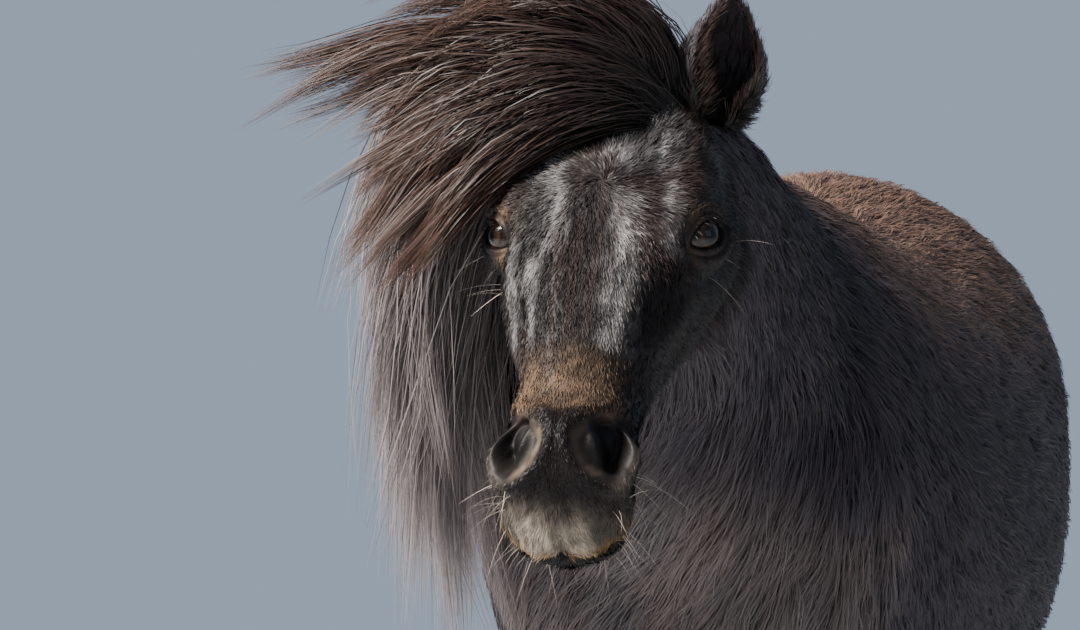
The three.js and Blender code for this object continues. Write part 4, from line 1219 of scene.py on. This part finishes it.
def welded(body, surface, rings, rounds):
    """A closed surface joined to a body by a union, then relaxed within some edges of the new seam."""
    known = {tuple(row) for row in np.round(mesh_arrays(body.data)[0] * 1e5).astype(int).tolist()}
    known |= {tuple(row) for row in np.round(surface[0] * 1e5).astype(int).tolist()}
    other = make_object("joining", *surface)
    union = body.modifiers.new("union", "BOOLEAN")
    union.operation = "UNION"
    union.solver = "MANIFOLD"
    union.object = other
    made = evaluated_copy(body, body.name)
    spare = other.data
    bpy.data.objects.remove(other)
    bpy.data.meshes.remove(spare)
    points, _ = mesh_arrays(made.data)
    keys = np.round(points * 1e5).astype(int).tolist()
    weight = np.array([tuple(row) not in known for row in keys], float)
    edges = np.empty(len(made.data.edges) * 2, np.int32)
    made.data.edges.foreach_get("vertices", edges)
    a, b = edges.reshape(-1, 2).T
    for _ in range(rings):
        spread = weight.copy()
        np.maximum.at(spread, a, weight[b] * 0.88)
        np.maximum.at(spread, b, weight[a] * 0.88)
        weight = spread
    relaxed(made.data, np.where(weight > 0, weight, 0) * 0.6, rounds)
    return made


# How far the skin of the head lies under the tips of its short coat, in mm
HEAD_DEPTH = 2.5


def build_skin(name, depth, voxel):
    """Trunk, neck and legs remeshed into one and smoothed, then head, lids and ears welded on."""
    body = make_object("rough", *body_surface(depth))
    remesh = body.modifiers.new("remesh", "REMESH")
    remesh.mode = "VOXEL"
    remesh.voxel_size = voxel * MM
    smooth = body.modifiers.new("smooth", "SMOOTH")
    smooth.factor = 0.5
    smooth.iterations = 12
    body = evaluated_copy(body, name)
    body = welded(body, skinned(to_row(from_head(head_rings(HEAD_DEPTH)))), 14, 40)
    for side in (-1, 1):
        body = welded(body, lid_surface(side), 3, 8)
        body = welded(body, ear_surface(side), 4, 12)
    body.name = name
    body.data.name = name
    body.data.polygons.foreach_set("use_smooth", np.ones(len(body.data.polygons), bool))
    return body


# Steps of an eyeball's grid, and how far its cornea reaches in radians and stands out in mm
EYE_AROUND = 128
EYE_DOWN = 96
CORNEA_REACH = 0.72
CORNEA_RISE = 1.3


def eye_ball(name, side):
    """An eyeball: a sphere with a cornea that stands out by a cosine bump, painted as iris, pupil and rim."""
    down = np.linspace(0.0, 1, EYE_DOWN + 1)[1:-1, None] ** 1.25 * np.pi
    angle = np.linspace(0, 2 * np.pi, EYE_AROUND, endpoint=False)[None]
    bump = CORNEA_RISE * np.cos(np.clip(down / CORNEA_REACH, 0, 1) * np.pi / 2) ** 2
    radius = EYE_RADIUS - 0.6 + bump
    out = radius * np.cos(down) + 0 * angle
    local = np.stack([out, radius * np.sin(down) * np.cos(angle), radius * np.sin(down) * np.sin(angle)], -1)
    points = EYE_CENTRE + local @ np.array(eye_frame())
    made = make_object(name, *skinned(to_row(from_head(points * (side, 1, 1)))))
    local = np.concatenate([local.reshape(-1, 3), local[0].mean(0)[None], local[-1].mean(0)[None]])
    layer = made.data.attributes.new("eye place", "FLOAT_VECTOR", "POINT")
    layer.data.foreach_set("vector", (local / EYE_RADIUS).astype(np.float32).ravel())
    return made


HOOF_AROUND = 72
HOOF_STEPS = 40


def hoof(name, rows):
    """A hoof: the leg's last row sloped down to the ground, with growth rings and a flat sole."""
    x, front_y, _, back_y, _, half, wide, square_a, square_b = rows[-1]
    height = HOOF_HEIGHT * (1 - np.linspace(0, 1, HOOF_STEPS))
    drop = HOOF_HEIGHT - height
    spread = 1.2 * np.sin(np.pi * np.clip(drop / HOOF_HEIGHT, 0, 1)) - 1.2 * ramp(height, 5, 0)
    spread += 0.35 * np.sin(drop * 2 * np.pi / 5.2)
    top = ramp(height, HOOF_HEIGHT - 8, HOOF_HEIGHT)
    rings = np.stack([
        x + 0 * height,
        front_y - 0.42 * drop - spread,
        height + 4 * top - PART_GAP * top,
        back_y - 0.04 * drop + 0.5 * spread,
        height - 8 * top - PART_GAP * top,
        half + 0.1 * drop + spread,
        wide + 0 * height,
        square_a + 0 * height,
        square_b + 0 * height,
    ], 1)
    angles = np.linspace(0, 2 * np.pi, HOOF_AROUND, endpoint=False)
    made = make_object(name, *skinned(to_row(section_rings(rings, angles, 0))))
    return made


# Settings a user would change

def hue(label, about, code):
    """A colour setting from an sRGB hex value."""
    return bpy.props.FloatVectorProperty(
        name=label, description=about, subtype="COLOR", size=3, min=0, max=1, default=hex_linear(code)
    )


def size(label, about, default, low=0.0, high=1000.0):
    """A plain number setting; lengths are in millimetres and say so."""
    return bpy.props.FloatProperty(name=label, description=about, default=default, min=low, max=high)


def number(label, about, default, least):
    """A whole number setting."""
    return bpy.props.IntProperty(name=label, description=about, default=default, min=least)


class PonyForm(bpy.types.PropertyGroup):
    """Sizes of the skin."""

    coat_depth: size("Coat depth", "How far the skin of the body lies under the tips of the coat, in mm", 9)
    grain: size("Skin grain", "Grid of the body's skin, in mm", 9.0, 5, 20)


class PonyTufts(bpy.types.PropertyGroup):
    """How the tufts of one part of the coat grow."""

    width: size("Width", "Width of a tuft at its root, in mm", 3.0)
    lift: size("Lift", "How steeply a tuft leaves the skin", 0.5, 0, 2)
    scatter: size("Scatter", "How far single tufts stray from the lie of the coat", 0.12, 0, 1)
    clump: size("Clump", "Distance over which neighbouring tufts lean alike, in mm", 45)
    wave: size("Wave", "How far a tuft curls, as a share of its length", 0.05, 0, 1)
    depth: size("Root depth", "How deep a tuft is rooted in the skin, in mm", 1.0, 0, 5)


class PonyHair(bpy.types.PropertyGroup):
    """Numbers and sizes of the long hair."""

    mane_locks: number("Mane locks", "Locks in the mane", 152, 10)
    forelock_locks: number("Forelock locks", "Locks over the brow", 92, 5)
    crown_locks: number("Crown locks", "Of those, up on the poll", 22, 0)
    tail_locks: number("Tail locks", "Locks in the tail", 56, 5)
    strands: number("Strands", "Strands in each lock", 124, 21)
    width: size("Strand width", "Width of a strand of the long hair, in mm", 1.5)
    wave: size("Wave", "How far the locks wave to each side, in mm", 14)


class PonyColours(bpy.types.PropertyGroup):
    """Colours of skin, coat, hair, eyes, hooves and stage."""

    root: hue("Roots", "Coat at its roots", 0x110F10)
    coat: hue("Coat", "Near-black winter coat", 0x38343B)
    brown: hue("Brown", "Sun-faded brown of the body", 0x3D2F2A)
    # Copper: sun-bleached tips, also painted sunlight on the top of the back and painted light on the chest
    copper: hue("Copper", "Bleached tips along the back", 0x8E6D59)
    face: hue("Face", "Dark hair of the face", 0x1A1413)
    # Sheen: the colour of the painted sheen on the face's glossy hair and on the chest
    silver: hue("Sheen", "Pale hair of the forehead and nose", 0x9A9594)
    # Tan also paints the light on the inner wall of the nostrils
    tan: hue("Tan", "Band above the nostrils and spots at the eyes", 0x977A5E)
    muzzle: hue("Muzzle", "Bare dark skin of the muzzle", 0x151111)
    pale: hue("Lips", "Pale hair of the upper lip and nostril rims", 0xBFB09E)
    yellow: hue("Lip edge", "Grass-stained lower edge of the upper lip", 0xA07A45)
    mane: hue("Mane", "Hanging mane", 0x564F51)
    mane_tip: hue("Mane tips", "Tips of the mane", 0x766D6C)
    forelock: hue("Forelock", "Middle of the forelock", 0x221815)
    forelock_tip: hue("Forelock tips", "Copper tips of the forelock", 0x45322A)
    whisker: hue("Whiskers", "Pale whiskers", 0xB9ABA0)
    pupil: hue("Pupil", "Pupil and inside of the nostrils", 0x050404)
    # Pupil: also the painted shade deep inside the nostrils
    iris: hue("Iris", "Middle of the iris", 0x130B07)
    iris_rim: hue("Iris rim", "Brown rim of the iris", 0x32200F)
    white: hue("Eyeball", "Brown-grey white of the eye", 0x2B211E)
    horn: hue("Horn", "Hoof horn", 0x29231F)
    floor: hue("Floor", "Studio floor", 0xD9DADB)
    sky: hue("Sky", "Light from all round", 0xAFC0D6)


class PonyStage(bpy.types.PropertyGroup):
    """Camera and lights."""

    azimuth: bpy.props.FloatProperty(
        name="Camera azimuth",
        description="How far the camera stands round to the pony's right",
        subtype="ANGLE",
        default=np.radians(10.5),
    )
    distance: bpy.props.FloatProperty(
        name="Camera distance", description="From the camera to the eyes", subtype="DISTANCE", default=6.0
    )
    key_power: size("Key light", "Power in watts", 940.0, 0, 5000)
    fill_power: size("Fill light", "Power in watts", 14.0)
    sky_strength: size("Sky light", "Strength of the sky's light", 0.58, 0, 10)
    backdrop: size("Backdrop", "Brightness behind the pony", 0.75, 0, 10)


def group(kind, label, about):
    """A group of settings within another."""
    return bpy.props.PointerProperty(type=kind, name=label, description=about)


class PonySettings(bpy.types.PropertyGroup):
    """All settings of the pony."""

    form: group(PonyForm, "Form", "Sizes of the skin")
    face_tufts: group(PonyTufts, "Face coat", "Tufts of the head")
    body_tufts: group(PonyTufts, "Body coat", "Tufts of neck and trunk")
    leg_tufts: group(PonyTufts, "Leg coat", "Tufts of the legs")
    hair: group(PonyHair, "Long hair", "Mane, forelock and tail")
    colours: group(PonyColours, "Colours", "All colours")
    stage: group(PonyStage, "Stage", "Camera and lights")


TUFT_DEFAULTS = {
    "face_tufts": {"width": 0.85, "lift": 0.5, "scatter": 0.14, "clump": 20, "wave": 0.04, "depth": 0.3},
    "body_tufts": {"width": 1.4, "lift": 0.36, "scatter": 0.12, "clump": 44, "wave": 0.05, "depth": 0.9},
    "leg_tufts": {"width": 1.6, "lift": 0.5, "scatter": 0.1, "clump": 36, "wave": 0.04, "depth": 0.6},
}


def settings():
    """The scene's settings of the pony."""
    return bpy.context.scene.pony


def plain_colours():
    """The colour settings as plain arrays."""
    chosen = settings().colours
    arrays = {name: np.array(getattr(chosen, name)) for name in PonyColours.__annotations__}
    return type("Colours", (), arrays)


# Materials

def add_node(tree, kind, links=None, **values):
    """A shader node: values set attributes or, by socket name, defaults; links join sockets to inputs."""
    node = tree.nodes.new(kind)
    for key, value in values.items():
        if hasattr(node, key):
            setattr(node, key, value)
        else:
            node.inputs[key.replace("_", " ")].default_value = value
    for socket, source in (links or {}).items():
        tree.links.new(source, node.inputs[socket])
    return node


def new_material(name):
    """An empty node material with its tree and its output's surface input."""
    material = bpy.data.materials.new(name)
    material.use_nodes = True
    tree = material.node_tree
    tree.nodes.clear()
    output = tree.nodes.new("ShaderNodeOutputMaterial")
    return material, tree, output.inputs["Surface"]


def colour4(value):
    """An RGBA tuple of a linear colour."""
    return (*[float(c) for c in value], 1.0)


def principled(tree, surface, links=None, **values):
    """A principled shader joined to the surface input, with links and values as add_node takes them."""
    shader = add_node(tree, "ShaderNodeBsdfPrincipled", links, **values)
    tree.links.new(shader.outputs["BSDF"], surface)


def coat_finish(name, roughness, shine):
    """Horse hair, straight and round in section: each hair shines along its length like a soft, dark wire."""
    material, tree, surface = new_material(name)
    shade = add_node(tree, "ShaderNodeAttribute", attribute_name=COLOUR_LAYER).outputs["Color"]
    principled(tree, surface, {"Base Color": shade}, Roughness=roughness, IOR=1.5, Specular_IOR_Level=shine)
    return material


def skin_finish(name):
    """Skin seen between hairs and bare on the muzzle: dark, slightly greasy, with a fine grain of pores."""
    material, tree, surface = new_material(name)
    shade = add_node(tree, "ShaderNodeAttribute", attribute_name=COLOUR_LAYER).outputs["Color"]
    place = {"Vector": add_node(tree, "ShaderNodeTexCoord").outputs["Object"]}
    # Pores lie about 1.5 mm apart, so 1 / 0.0015 m gives 650 to a metre
    pores = add_node(tree, "ShaderNodeTexNoise", place, Scale=650.0, Detail=3.0).outputs["Fac"]
    folds = add_node(tree, "ShaderNodeTexNoise", place, Scale=120.0, Detail=4.0).outputs["Fac"]
    grain = add_node(tree, "ShaderNodeMix", {"A": pores, "B": folds}, Factor=0.55).outputs["Result"]
    bump = add_node(tree, "ShaderNodeBump", {"Height": grain}, Strength=0.55, Distance=0.0012)
    links = {"Base Color": shade, "Normal": bump.outputs["Normal"]}
    principled(tree, surface, links, Roughness=0.5, IOR=1.45, Specular_IOR_Level=0.14)
    return material


# Half length and half height of the level pupil, as shares of the eyeball's radius
PUPIL_SIZE = (0.36, 0.2)


def eye_finish(name, colours):
    """Wet cornea over a brown iris: a mirror-like film over a dark, level pupil and a brown rim."""
    material, tree, surface = new_material(name)
    place = add_node(tree, "ShaderNodeAttribute", attribute_name="eye place").outputs["Vector"]
    parts = add_node(tree, "ShaderNodeSeparateXYZ", {"Vector": place})
    along, up = parts.outputs["Y"], parts.outputs["Z"]
    sides = []
    for part, half in zip((along, up), PUPIL_SIZE):
        share = add_node(tree, "ShaderNodeMath", {0: part}, operation="MULTIPLY")
        share.inputs[1].default_value = 1 / half
        sides.append(share.outputs[0])
    level = add_node(tree, "ShaderNodeCombineXYZ", {"X": sides[0], "Y": sides[1]})
    pupil = add_node(tree, "ShaderNodeVectorMath", {0: level.outputs[0]}, operation="LENGTH")
    flat = add_node(tree, "ShaderNodeCombineXYZ", {"X": along, "Y": up})
    reach = add_node(tree, "ShaderNodeVectorMath", {0: flat.outputs[0]}, operation="LENGTH").outputs["Value"]
    # Folds of the iris are about 0.6 mm apart on a ball of 19 mm, so about 30 to the radius
    folds = add_node(tree, "ShaderNodeTexNoise", {"Vector": place}, Scale=30.0, Detail=2.0)
    spread = add_node(tree, "ShaderNodeMath", {0: folds.outputs["Fac"]}, operation="MULTIPLY")
    spread.inputs[1].default_value = 0.12
    uneven = add_node(tree, "ShaderNodeMath", {0: reach, 1: spread.outputs[0]}, operation="ADD")
    ring = add_node(tree, "ShaderNodeValToRGB", {"Fac": uneven.outputs[0]})
    stops = [
        (0.0, colours.iris),
        (0.42, colours.iris),
        (0.56, colours.iris_rim),
        (0.66, colours.pupil),
        (0.74, colours.white),
        (1.0, colours.white),
    ]
    while len(ring.color_ramp.elements) < len(stops):
        ring.color_ramp.elements.new(0.5)
    for element, (spot, colour) in zip(ring.color_ramp.elements, stops):
        element.position = spot
        element.color = colour4(colour)
    edge = {"From_Min": 0.85, "From_Max": 1.15}
    dark = add_node(
        tree, "ShaderNodeMapRange", {"Value": pupil.outputs["Value"]}, interpolation_type="SMOOTHSTEP", **edge
    )
    shade = add_node(tree, "ShaderNodeMix", {"Factor": dark.outputs["Result"]}, data_type="RGBA")
    shade.inputs["A"].default_value = colour4(colours.pupil)
    tree.links.new(ring.outputs["Color"], shade.inputs["B"])
    film = {"Coat_Weight": 0.7, "Coat_Roughness": 0.02, "Coat_IOR": 1.33}
    links = {"Base Color": shade.outputs["Result"]}
    principled(tree, surface, links, Roughness=0.25, IOR=1.38, Specular_IOR_Level=0.2, **film)
    return material


def horn_finish(name, colours):
    """Hoof horn: dull, dark keratin with fine upright tubules that catch the light as faint streaks."""
    material, tree, surface = new_material(name)
    place = add_node(tree, "ShaderNodeTexCoord").outputs["Object"]
    # Tubules run down the wall: about 1 mm apart round it and 30 mm long
    stretched = add_node(tree, "ShaderNodeMapping", {"Vector": place})
    stretched.inputs["Scale"].default_value = (900.0, 900.0, 30.0)
    streaks = add_node(
        tree, "ShaderNodeTexNoise", {"Vector": stretched.outputs["Vector"]}, Scale=1.0, Detail=2.0
    ).outputs["Fac"]
    shade = add_node(tree, "ShaderNodeMix", {"Factor": streaks}, data_type="RGBA")
    shade.inputs["A"].default_value = colour4(colours.horn * 0.6)
    shade.inputs["B"].default_value = colour4(colours.horn * 1.5)
    bump = add_node(tree, "ShaderNodeBump", {"Height": streaks}, Strength=0.3, Distance=0.0006)
    links = {"Normal": bump.outputs["Normal"], "Base Color": shade.outputs["Result"]}
    principled(tree, surface, links, Roughness=0.5, IOR=1.55)
    return material


def plain_finish(name, colour, roughness):
    """Matt paint on a studio floor: even, with no shine."""
    material, tree, surface = new_material(name)
    principled(tree, surface, Base_Color=colour4(colour), Roughness=roughness)
    return material


def dressed(piece, material, slot, *nodes):
    """Gives a piece its material and body, and hides the solids it stands for. The slot is not used."""
    piece.data.materials.clear()
    piece.data.materials.append(material)
    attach(piece, "root")
    if nodes:
        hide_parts(*nodes)
    return piece


# Operators

FLESH = ("torso", "neck", "head", "ear_left", "ear_right", *STRIDES)
SKIN_NAME = "skin"
# The y at which the front piece of the body's coat meets the left and right ones
FRONT_EDGE = -215


def area_density(area):
    """A density function for scattering over one area of the coat."""

    def density(points):
        zone = zones(points)
        q = zone["q"]
        x, y, _ = points.T
        head = zone["head"] > 0.5
        ear = zone["ear"] > 0.5
        leg = (zone["leg"] > 0.5) & ~head
        trunk = ~head & ~leg & ~ear
        if area == "face":
            near = 1 + 1.6 * ramp(q[:, 2], -20, 30) + 2.6 * zone["muzzle"]
            return (head & ~ear) * near * np.where(bare_parts(zone) > 0, 1, 0)
        return {
            "ears": ear,
            "legs": leg,
            "front": trunk & (y < FRONT_EDGE),
            "left": trunk & (y >= FRONT_EDGE) & (x >= 0),
            "right": trunk & (y >= FRONT_EDGE) & (x < 0),
        }[area].astype(float)

    return density


# Each piece of the short coat: area, tufts, rows of a tuft, its setting, slot and a step of the seed
COAT_PIECES = {
    "coat_face": ("face", 60000, 3, "face_tufts", "face", 11),
    "coat_ears": ("ears", 8000, 3, "face_tufts", "coat", 21),
    "coat_front": ("front", 63000, 3, "body_tufts", "coat", 31),
    "coat_left": ("left", 52000, 3, "body_tufts", "coat", 41),
    "coat_right": ("right", 52000, 3, "body_tufts", "coat", 51),
    "coat_legs": ("legs", 44000, 3, "leg_tufts", "coat", 61),
}
# Rows of points along a strand of the long hair
HAIR_ROWS = 9
# How far strands stand off their lock at its four controls, in mm, and the way the flat of their hair faces
MANE_SPREAD = (9, 14, 12, 4)
MANE_FACING = (-0.6, -0.55, 0.6)
FORELOCK_SPREAD = (5, 8, 5, 1.6)
FORELOCK_FACING = (-0.2, -0.8, 0.6)
TAIL_SPREAD = (7, 12, 14, 9)
TAIL_FACING = (0.2, 1.0, 0.1)
# The tail's strands stay this far off the ground, in mm
TAIL_CLEARANCE = 12


def forelock_strands(hair, draw):
    """The forelock: locks over the brow, the first of them up on the poll, by the hair settings."""
    count = hair.forelock_locks
    share = draw.random(count)
    lift = 1.02 * draw.random(count)
    across = 34 - 64 * share
    long = draw.random(count) < 0.25
    length = np.where(long, draw.uniform(0.92, 1.08, count), draw.uniform(0.66, 0.92, count))
    length = np.where(lift < 0.3, draw.uniform(0.85, 1.08, count), length)
    controls = forelock_controls(across, 34 - 32 * lift, lift, length, draw.uniform(-1, 1, count))
    crown = hair.crown_locks
    across, length = draw.uniform(-8, 44, crown), draw.uniform(0.5, 0.95, crown)
    controls[:crown] = crown_controls(across, length, draw.uniform(-1, 1, crown))
    return lock_strands(controls, FORELOCK_SPREAD, hair.strands, HAIR_ROWS, hair.wave * 1.3, draw)


class PONY_OT_skin(bpy.types.Operator):
    """One skin for head, ears, neck, trunk and legs, sunk by the depth of the coat on neck and trunk."""

    bl_idname = "pony.skin"
    bl_label = "Skin"

    def execute(self, context):
        form = settings().form
        skin = build_skin(SKIN_NAME, form.coat_depth, form.grain)
        points, normals = mesh_arrays(skin.data)
        own = from_row(points)
        zone = zones(own)
        root, tip = coat_colours(own, normals, zone, plain_colours())
        paint(skin, mixed(root, tip, 0.3 - 0.15 * zone["muzzle"]))
        dressed(skin, skin_finish("pony skin, haired and bare"), "coat", *FLESH)
        return {"FINISHED"}


class PONY_OT_eyes(bpy.types.Operator):
    """Both eyeballs with cornea, iris and level pupil."""

    bl_idname = "pony.eyes"
    bl_label = "Eyes"

    def execute(self, context):
        material = eye_finish("wet cornea over a brown iris", plain_colours())
        for side, node in ((1, "eye_left"), (-1, "eye_right")):
            dressed(eye_ball(f"eyeball_{node[4:]}", side), material, "eye", node)
        return {"FINISHED"}


class PONY_OT_hooves(bpy.types.Operator):
    """The four hooves with growth rings."""

    bl_idname = "pony.hooves"
    bl_label = "Hooves"

    def execute(self, context):
        material = horn_finish("hoof horn, worn dull", plain_colours())
        for name, rows in LEGS.items():
            dressed(hoof(f"horn_{name}", rows), material, "hoof", f"hoof_{name}")
        return {"FINISHED"}


class PONY_OT_coat(bpy.types.Operator):
    """The short coat of face, ears, neck, trunk and legs, as tufts rooted in the skin."""

    bl_idname = "pony.coat"
    bl_label = "Short coat"

    def execute(self, context):
        skin = bpy.data.objects[SKIN_NAME]
        colours = plain_colours()
        face = coat_finish("short fine face hair, glossy", 0.45, 0.13)
        body = coat_finish("dense winter body hair", 0.5, 0.26)
        for name, (area, count, rows, tufts, slot, step) in COAT_PIECES.items():
            shape = getattr(settings(), tufts)
            piece = coat_piece(name, skin, area_density(area), count, rows, shape, step, colours)
            dressed(piece, face if slot == "face" else body, slot)
        return {"FINISHED"}


class PONY_OT_mane(bpy.types.Operator):
    """Mane and forelock: waving locks of fine strands blown to the pony's right."""

    bl_idname = "pony.mane"
    bl_label = "Mane and forelock"

    def execute(self, context):
        hair, colour = settings().hair, plain_colours()
        finish = coat_finish("long mane hair, unwashed", 0.42, 0.2)
        draw = np.random.default_rng(SEED + 100)
        shades = colour.root, colour.mane, colour.mane_tip
        half = hair.mane_locks // 2
        for part in range(2):
            place = (np.arange(half) + draw.random(half)) / half
            hanging = draw.random(half) < 0.62
            lift = np.where(hanging, draw.random(half) * 0.3, 0.2 + 0.65 * draw.random(half) ** 1.5)
            length = np.where(lift > 0.45, 0.78, 1.0) * draw.uniform(0.75, 1.1, half)
            controls = mane_controls(place, lift, length, draw.uniform(-1, 1, half))
            spine = lock_strands(controls, MANE_SPREAD, hair.strands, HAIR_ROWS, hair.wave * 1.25, draw)
            piece = hair_piece(f"mane_{part + 1}", spine, hair.width, *shades, draw, MANE_FACING)
            dressed(piece, finish, "mane")
        spine = forelock_strands(hair, draw)
        shades = colour.root, colour.forelock, colour.forelock_tip
        piece = hair_piece("forelock", spine, hair.width * 0.7, *shades, draw, FORELOCK_FACING)
        dressed(piece, finish, "mane")
        return {"FINISHED"}


class PONY_OT_tail(bpy.types.Operator):
    """The tail: long locks from all round the dock."""

    bl_idname = "pony.tail"
    bl_label = "Tail"

    def execute(self, context):
        hair, colour = settings().hair, plain_colours()
        draw = np.random.default_rng(SEED + 200)
        controls = tail_controls(hair.tail_locks, draw)
        spine = lock_strands(controls, TAIL_SPREAD, hair.strands - 20, HAIR_ROWS, hair.wave * 1.3, draw)
        spine[..., 2] = np.maximum(spine[..., 2], TAIL_CLEARANCE)
        shades = colour.root, colour.mane, colour.mane_tip
        piece = hair_piece("tail_hair", spine, hair.width * 1.4, *shades, draw, TAIL_FACING)
        dressed(piece, coat_finish("tail hair, weathered", 0.42, 0.25), "mane", "tail")
        return {"FINISHED"}


class PONY_OT_fine_hair(bpy.types.Operator):
    """Whiskers, eyelashes, hair inside the ears and feather behind the fetlocks."""

    bl_idname = "pony.fine_hair"
    bl_label = "Fine hair"

    def execute(self, context):
        skin, colour = bpy.data.objects[SKIN_NAME], plain_colours()
        draw = np.random.default_rng(SEED + 300)
        finish = coat_finish("stiff single hairs", 0.4, 0.3)
        pieces = [
            ("whiskers", whiskers(skin, draw), 0.32, colour.pale, colour.whisker, "face"),
            ("eyelashes", lashes(draw), 0.6, colour.pupil, colour.root, "face"),
            ("ear_hair", ear_hairs(draw), 0.9, colour.root, colour.brown, "coat"),
            ("feather", feather(skin, draw), 2.0, colour.coat, colour.brown, "coat"),
        ]
        for name, spine, width, root, tip, slot in pieces:
            dressed(hair_row(name, spine, width, root, tip, draw), finish, slot)
        return {"FINISHED"}


def area_light(name, middle, way, distance, power, width, colour):
    """A square soft light that looks at the middle from a distance along a way."""
    light = bpy.data.lights.new(name, "AREA")
    light.energy = power
    light.size = width
    light.color = colour
    lamp = bpy.data.objects.new(name, light)
    way = unit(np.asarray(way, float))
    side = unit(np.cross((0, 0, 1), way))
    turn = np.stack([side, np.cross(way, side), way, middle + way * distance], 1)
    lamp.matrix_world = Matrix([*turn.tolist(), [0, 0, 0, 1]])
    bpy.context.scene.collection.objects.link(lamp)


# The camera's lens as a focal length in pixels of a picture this wide. In such pixels at the eyes, the camera
# stands this far left of and below them, and looks this far down.
FOCAL_PIXELS = 7506
IMAGE_WIDTH = 1080
EYE_PIXEL = (64, 63)
HORIZON_RISE = 15
SENSOR_WIDTH = 36
KEY_COLOUR = (1.0, 0.96, 0.9)
FILL_COLOUR = (0.85, 0.92, 1.0)
# Half width of the floor, in metres
FLOOR_HALF = 9


class PONY_OT_stage(bpy.types.Operator):
    """Pale floor, soft light from the upper left and a camera ahead of the pony, a little to its right."""

    bl_idname = "pony.stage"
    bl_label = "Stage"

    def execute(self, context):
        stage, colour = settings().stage, plain_colours()
        eyes = np.mean([np.mean(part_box(node), axis=0) for node in ("eye_left", "eye_right")], 0)
        turn = stage.azimuth
        ahead = np.array([-np.sin(turn), np.cos(turn), 0])
        right = np.array([np.cos(turn), np.sin(turn), 0])
        up = np.array([0, 0, 1])
        spot = eyes - ahead * stage.distance
        spot = spot - (right * EYE_PIXEL[0] + up * EYE_PIXEL[1]) * stage.distance / FOCAL_PIXELS
        camera = bpy.data.cameras.new("camera")
        camera.sensor_width = SENSOR_WIDTH
        camera.lens = FOCAL_PIXELS * SENSOR_WIDTH / IMAGE_WIDTH
        camera.clip_end = 100
        viewer = bpy.data.objects.new("camera", camera)
        viewer.location = spot
        viewer.rotation_euler = (np.pi / 2 - HORIZON_RISE / FOCAL_PIXELS, 0, turn)
        bpy.context.scene.collection.objects.link(viewer)
        bpy.context.scene.camera = viewer
        key = -0.66 * right + 0.72 * up - 0.26 * ahead
        area_light("key", eyes, key, 4.5, stage.key_power, 1.3, KEY_COLOUR)
        fill = 0.8 * right + 0.35 * up - 0.7 * ahead
        area_light("fill", eyes, fill, 4, stage.fill_power, 2.5, FILL_COLOUR)
        world = bpy.data.worlds.new("studio")
        bpy.context.scene.world = world
        world.use_nodes = True
        world.node_tree.nodes.clear()
        seen = add_node(world.node_tree, "ShaderNodeLightPath").outputs["Is Camera Ray"]
        strengths = {"To_Min": stage.sky_strength, "To_Max": stage.backdrop}
        power = add_node(world.node_tree, "ShaderNodeMapRange", {"Value": seen}, **strengths)
        strength = {"Strength": power.outputs["Result"]}
        light = add_node(world.node_tree, "ShaderNodeBackground", strength, Color=colour4(colour.sky))
        output = world.node_tree.nodes.new("ShaderNodeOutputWorld")
        world.node_tree.links.new(light.outputs[0], output.inputs["Surface"])
        ring = [(x * FLOOR_HALF, y * FLOOR_HALF, 0.0) for x, y in ((-1, -1), (1, -1), (1, 1), (-1, 1))]
        floor = make_object("floor", ring, [(0, 1, 2, 3)])
        floor.data.materials.append(plain_finish("matt painted floor", colour.floor, 0.7))
        return {"FINISHED"}


STEPS = ("skin", "eyes", "hooves", "coat", "mane", "tail", "fine_hair", "stage")


class PONY_PT_panel(bpy.types.Panel):
    """The pony's steps and settings in the 3D view's sidebar."""

    bl_label = "Shetland Pony"
    bl_space_type = "VIEW_3D"
    bl_region_type = "UI"
    bl_category = "Pony"

    def draw(self, context):
        for step in STEPS:
            self.layout.operator(f"pony.{step}")
        for part in PonySettings.__annotations__:
            box = self.layout.box()
            box.label(text=part.replace("_", " ").capitalize())
            values = getattr(context.scene.pony, part)
            for name in type(values).__annotations__:
                box.prop(values, name)


CLASSES = (
    PonyForm, PonyTufts, PonyHair, PonyColours, PonyStage, PonySettings, PONY_OT_skin, PONY_OT_eyes,
    PONY_OT_hooves, PONY_OT_coat, PONY_OT_mane, PONY_OT_tail, PONY_OT_fine_hair, PONY_OT_stage, PONY_PT_panel,
)


def register():
    """Adds the classes and the scene's settings."""
    for each in CLASSES:
        bpy.utils.register_class(each)
    bpy.types.Scene.pony = group(PonySettings, "Pony", "Settings of the pony")
    for tufts, values in TUFT_DEFAULTS.items():
        for name, value in values.items():
            setattr(getattr(bpy.context.scene.pony, tufts), name, value)


def unregister():
    """Takes the classes and the settings out again."""
    del bpy.types.Scene.pony
    for each in reversed(CLASSES):
        bpy.utils.unregister_class(each)


def main():
    """Builds the pony and its stage."""
    register()
    for step in STEPS:
        getattr(bpy.ops.pony, step)()
    bpy.context.view_layer.update()


if __name__ == "__main__":
    main()
